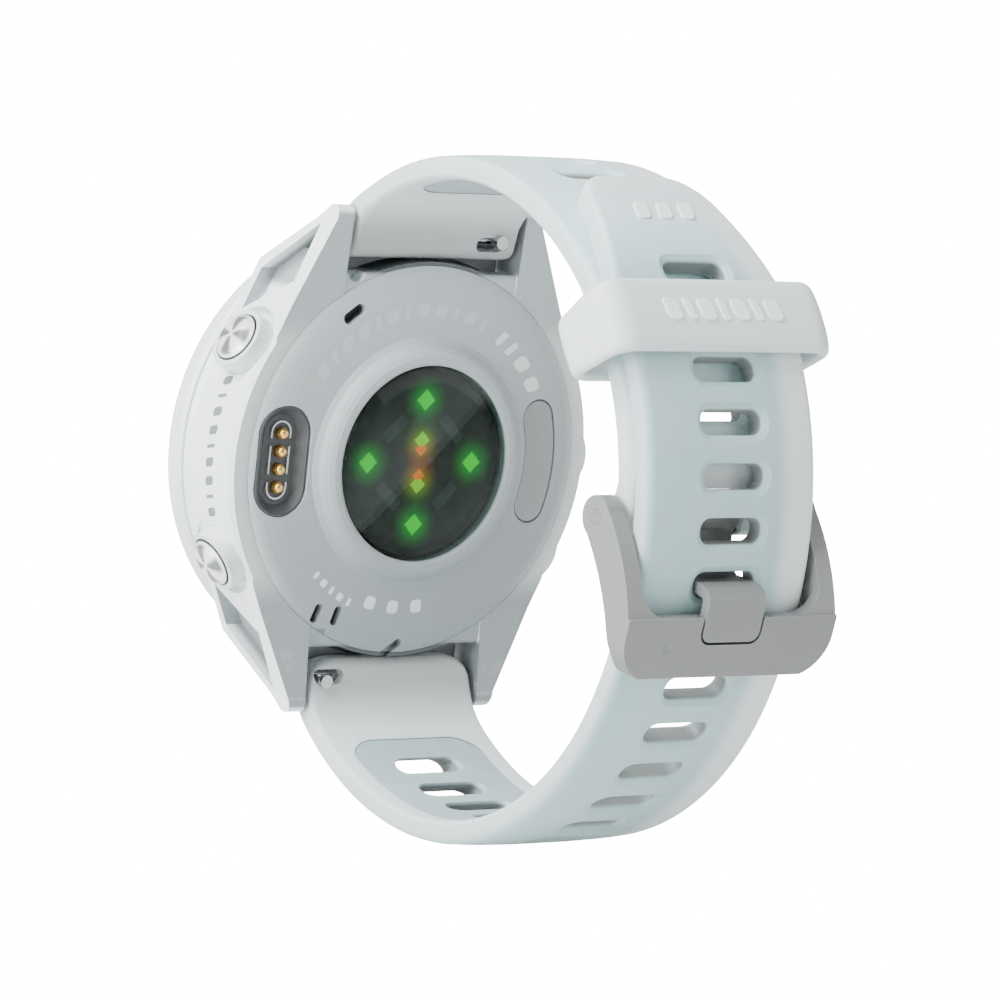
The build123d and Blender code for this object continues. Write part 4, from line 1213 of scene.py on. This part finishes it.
def make_bars(name, bars, point, lifts, material):
    """Flat strokes that point outwards: (radius, degrees from 12 o'clock, width, length)."""
    solids = []
    for radius, degrees, width, length in bars:
        a = math.radians(degrees)
        out, side = Vector((math.sin(a), math.cos(a))), Vector((math.cos(a), -math.sin(a)))
        signs = ((-1, -1), (1, -1), (1, 1), (-1, 1))
        corners = [out * (radius + k * length / 2) + side * (i * width / 2) for i, k in signs]
        solids.append([[point(c.x, c.y, lift) for c in corners] for lift in lifts])
    add_piece(lofts(name, solids), material, "head")


def make_digit(text, material):
    """An hour number on the display, as a solid outline."""
    curve = bpy.data.curves.new(f"hour_{text}", "FONT")
    curve.body = text
    curve.size = DIGIT_SIZE * MM
    curve.extrude = DIGIT_DEPTH * MM
    curve.align_x = "CENTER"
    curve.align_y = "CENTER"
    source = bpy.data.objects.new(f"hour_{text}_curve", curve)
    bpy.context.scene.collection.objects.link(source)
    bpy.context.view_layer.update()
    mesh = bpy.data.meshes.new_from_object(source.evaluated_get(bpy.context.evaluated_depsgraph_get()))
    bpy.data.objects.remove(source)
    a = math.radians(int(text) * 30)
    for v in mesh.vertices:
        x, y, z = v.co / MM
        v.co = on_dial(x + DIGIT_RADIUS * math.sin(a), y + DIGIT_RADIUS * math.cos(a), z)
    mesh.flip_normals()
    digit = bpy.data.objects.new(f"hour_{text}", mesh)
    bpy.context.scene.collection.objects.link(digit)
    add_piece(digit, material, "head")


dial_white = glowing("dial_white", (225, 232, 235), 0.7)
dial_aqua = glowing("dial_aqua", (90, 200, 205), 0.8)
minutes = [(16.0, 6 * i, 0.22, 0.9) for i in range(60) if i % 5]
hours = [(15.6, 30 * i, 0.5, 1.7) for i in range(12)]
hands = [(3.6, 304, 0.9, 7.2), (5.4, 60, 0.6, 10.8)]
photodiodes = [(4.7, 45 + 90 * i, 3.2, 1.2) for i in range(4)]
make_bars("dial_minutes", minutes, on_dial, (-0.01, 0.01), dial_white)
make_bars("dial_hours", hours, on_dial, (-0.01, 0.01), dial_aqua)
make_bars("dial_hands", hands, on_dial, (-0.01, 0.01), dial_white)
for text in ("12", "3", "6", "9"):
    make_digit(text, dial_white)
window_gray = plain("photodiode_window", (62, 70, 66), 0.5)
make_bars("photodiode_windows", photodiodes, on_field, (0.002, 0.015), window_gray)


# ------------------------------------------------------------ studio
AMBIENT = 0.5
BACKDROP = 24.0
FLOOR_SIZE = 6.0
FLOOR_GAP = 0.0002
FOCAL_LENGTH = 201.6
SENSOR_WIDTH = 36.0
CAMERA_RIGHT = Vector((-0.8059, 0.5826, 0.1054))
CAMERA_UP = Vector((-0.0065, -0.1868, 0.9824))
CAMERA_BACK = Vector((0.5920, 0.7910, 0.1543))
CAMERA_PLACE = Vector((316.6, 442.5 + SHIFT_Y, 81.4))


def make_floor():
    """A white floor that glows only for the camera, so that it melts into the backdrop."""
    bm = bmesh.new()
    z = cad_box[0].z - FLOOR_GAP
    corners = ((-1, -1), (1, -1), (1, 1), (-1, 1))
    bm.faces.new([bm.verts.new((sx * FLOOR_SIZE, sy * FLOOR_SIZE, z)) for sx, sy in corners])
    floor = link("studio_floor", bm, smooth=False)
    m, tree, bsdf = new_material("studio_floor")
    tune(bsdf, base_color=(0.85, 0.85, 0.85, 1), roughness=0.9, emission_color=(1, 1, 1, 1))
    path = tree.nodes.new("ShaderNodeLightPath")
    plug(Value(tree, path.outputs["Is Camera Ray"]) * (BACKDROP * 0.8), bsdf.inputs["Emission Strength"])
    floor.data.materials.append(m)


def area_light(name, place, size, power):
    """A white panel that faces the watch."""
    target = Vector((0, 0.02, 0))
    data = bpy.data.lights.new(name, "AREA")
    data.shape = "RECTANGLE"
    data.size, data.size_y = size
    data.energy = power
    o = bpy.data.objects.new(name, data)
    bpy.context.scene.collection.objects.link(o)
    o.location = place
    o.rotation_euler = (target - Vector(place)).to_track_quat("-Z", "Y").to_euler()


def make_sky():
    """White all round: dim as light on the watch, bright where the camera sees it."""
    world = bpy.data.worlds.new("studio")
    bpy.context.scene.world = world
    world.use_nodes = True
    tree = world.node_tree
    sky = tree.nodes["Background"]
    sky.inputs[0].default_value = (1, 1, 1, 1)
    path = tree.nodes.new("ShaderNodeLightPath")
    seen = tree.nodes.new("ShaderNodeMapRange")
    seen.inputs["To Min"].default_value = AMBIENT
    seen.inputs["To Max"].default_value = BACKDROP
    tree.links.new(path.outputs["Is Camera Ray"], seen.inputs["Value"])
    tree.links.new(seen.outputs["Result"], sky.inputs[1])


def make_camera():
    data = bpy.data.cameras.new("camera")
    data.sensor_width = SENSOR_WIDTH
    data.lens = FOCAL_LENGTH
    data.clip_start = 0.01
    data.clip_end = 20
    camera = bpy.data.objects.new("camera", data)
    bpy.context.scene.collection.objects.link(camera)
    columns = (CAMERA_RIGHT, CAMERA_UP, CAMERA_BACK, CAMERA_PLACE * MM)
    rows = [tuple(column[i] for column in columns) for i in range(3)]
    camera.matrix_world = Matrix((*rows, (0, 0, 0, 1)))
    bpy.context.scene.camera = camera


make_floor()
area_light("key", (0.35, -0.02, 0.45), (0.35, 0.35), 8.5)
area_light("side", (0.55, 0.10, 0.10), (0.25, 0.45), 4.9)
area_light("fill", (-0.45, 0.55, 0.25), (0.5, 0.5), 2.35)
make_sky()
make_camera()
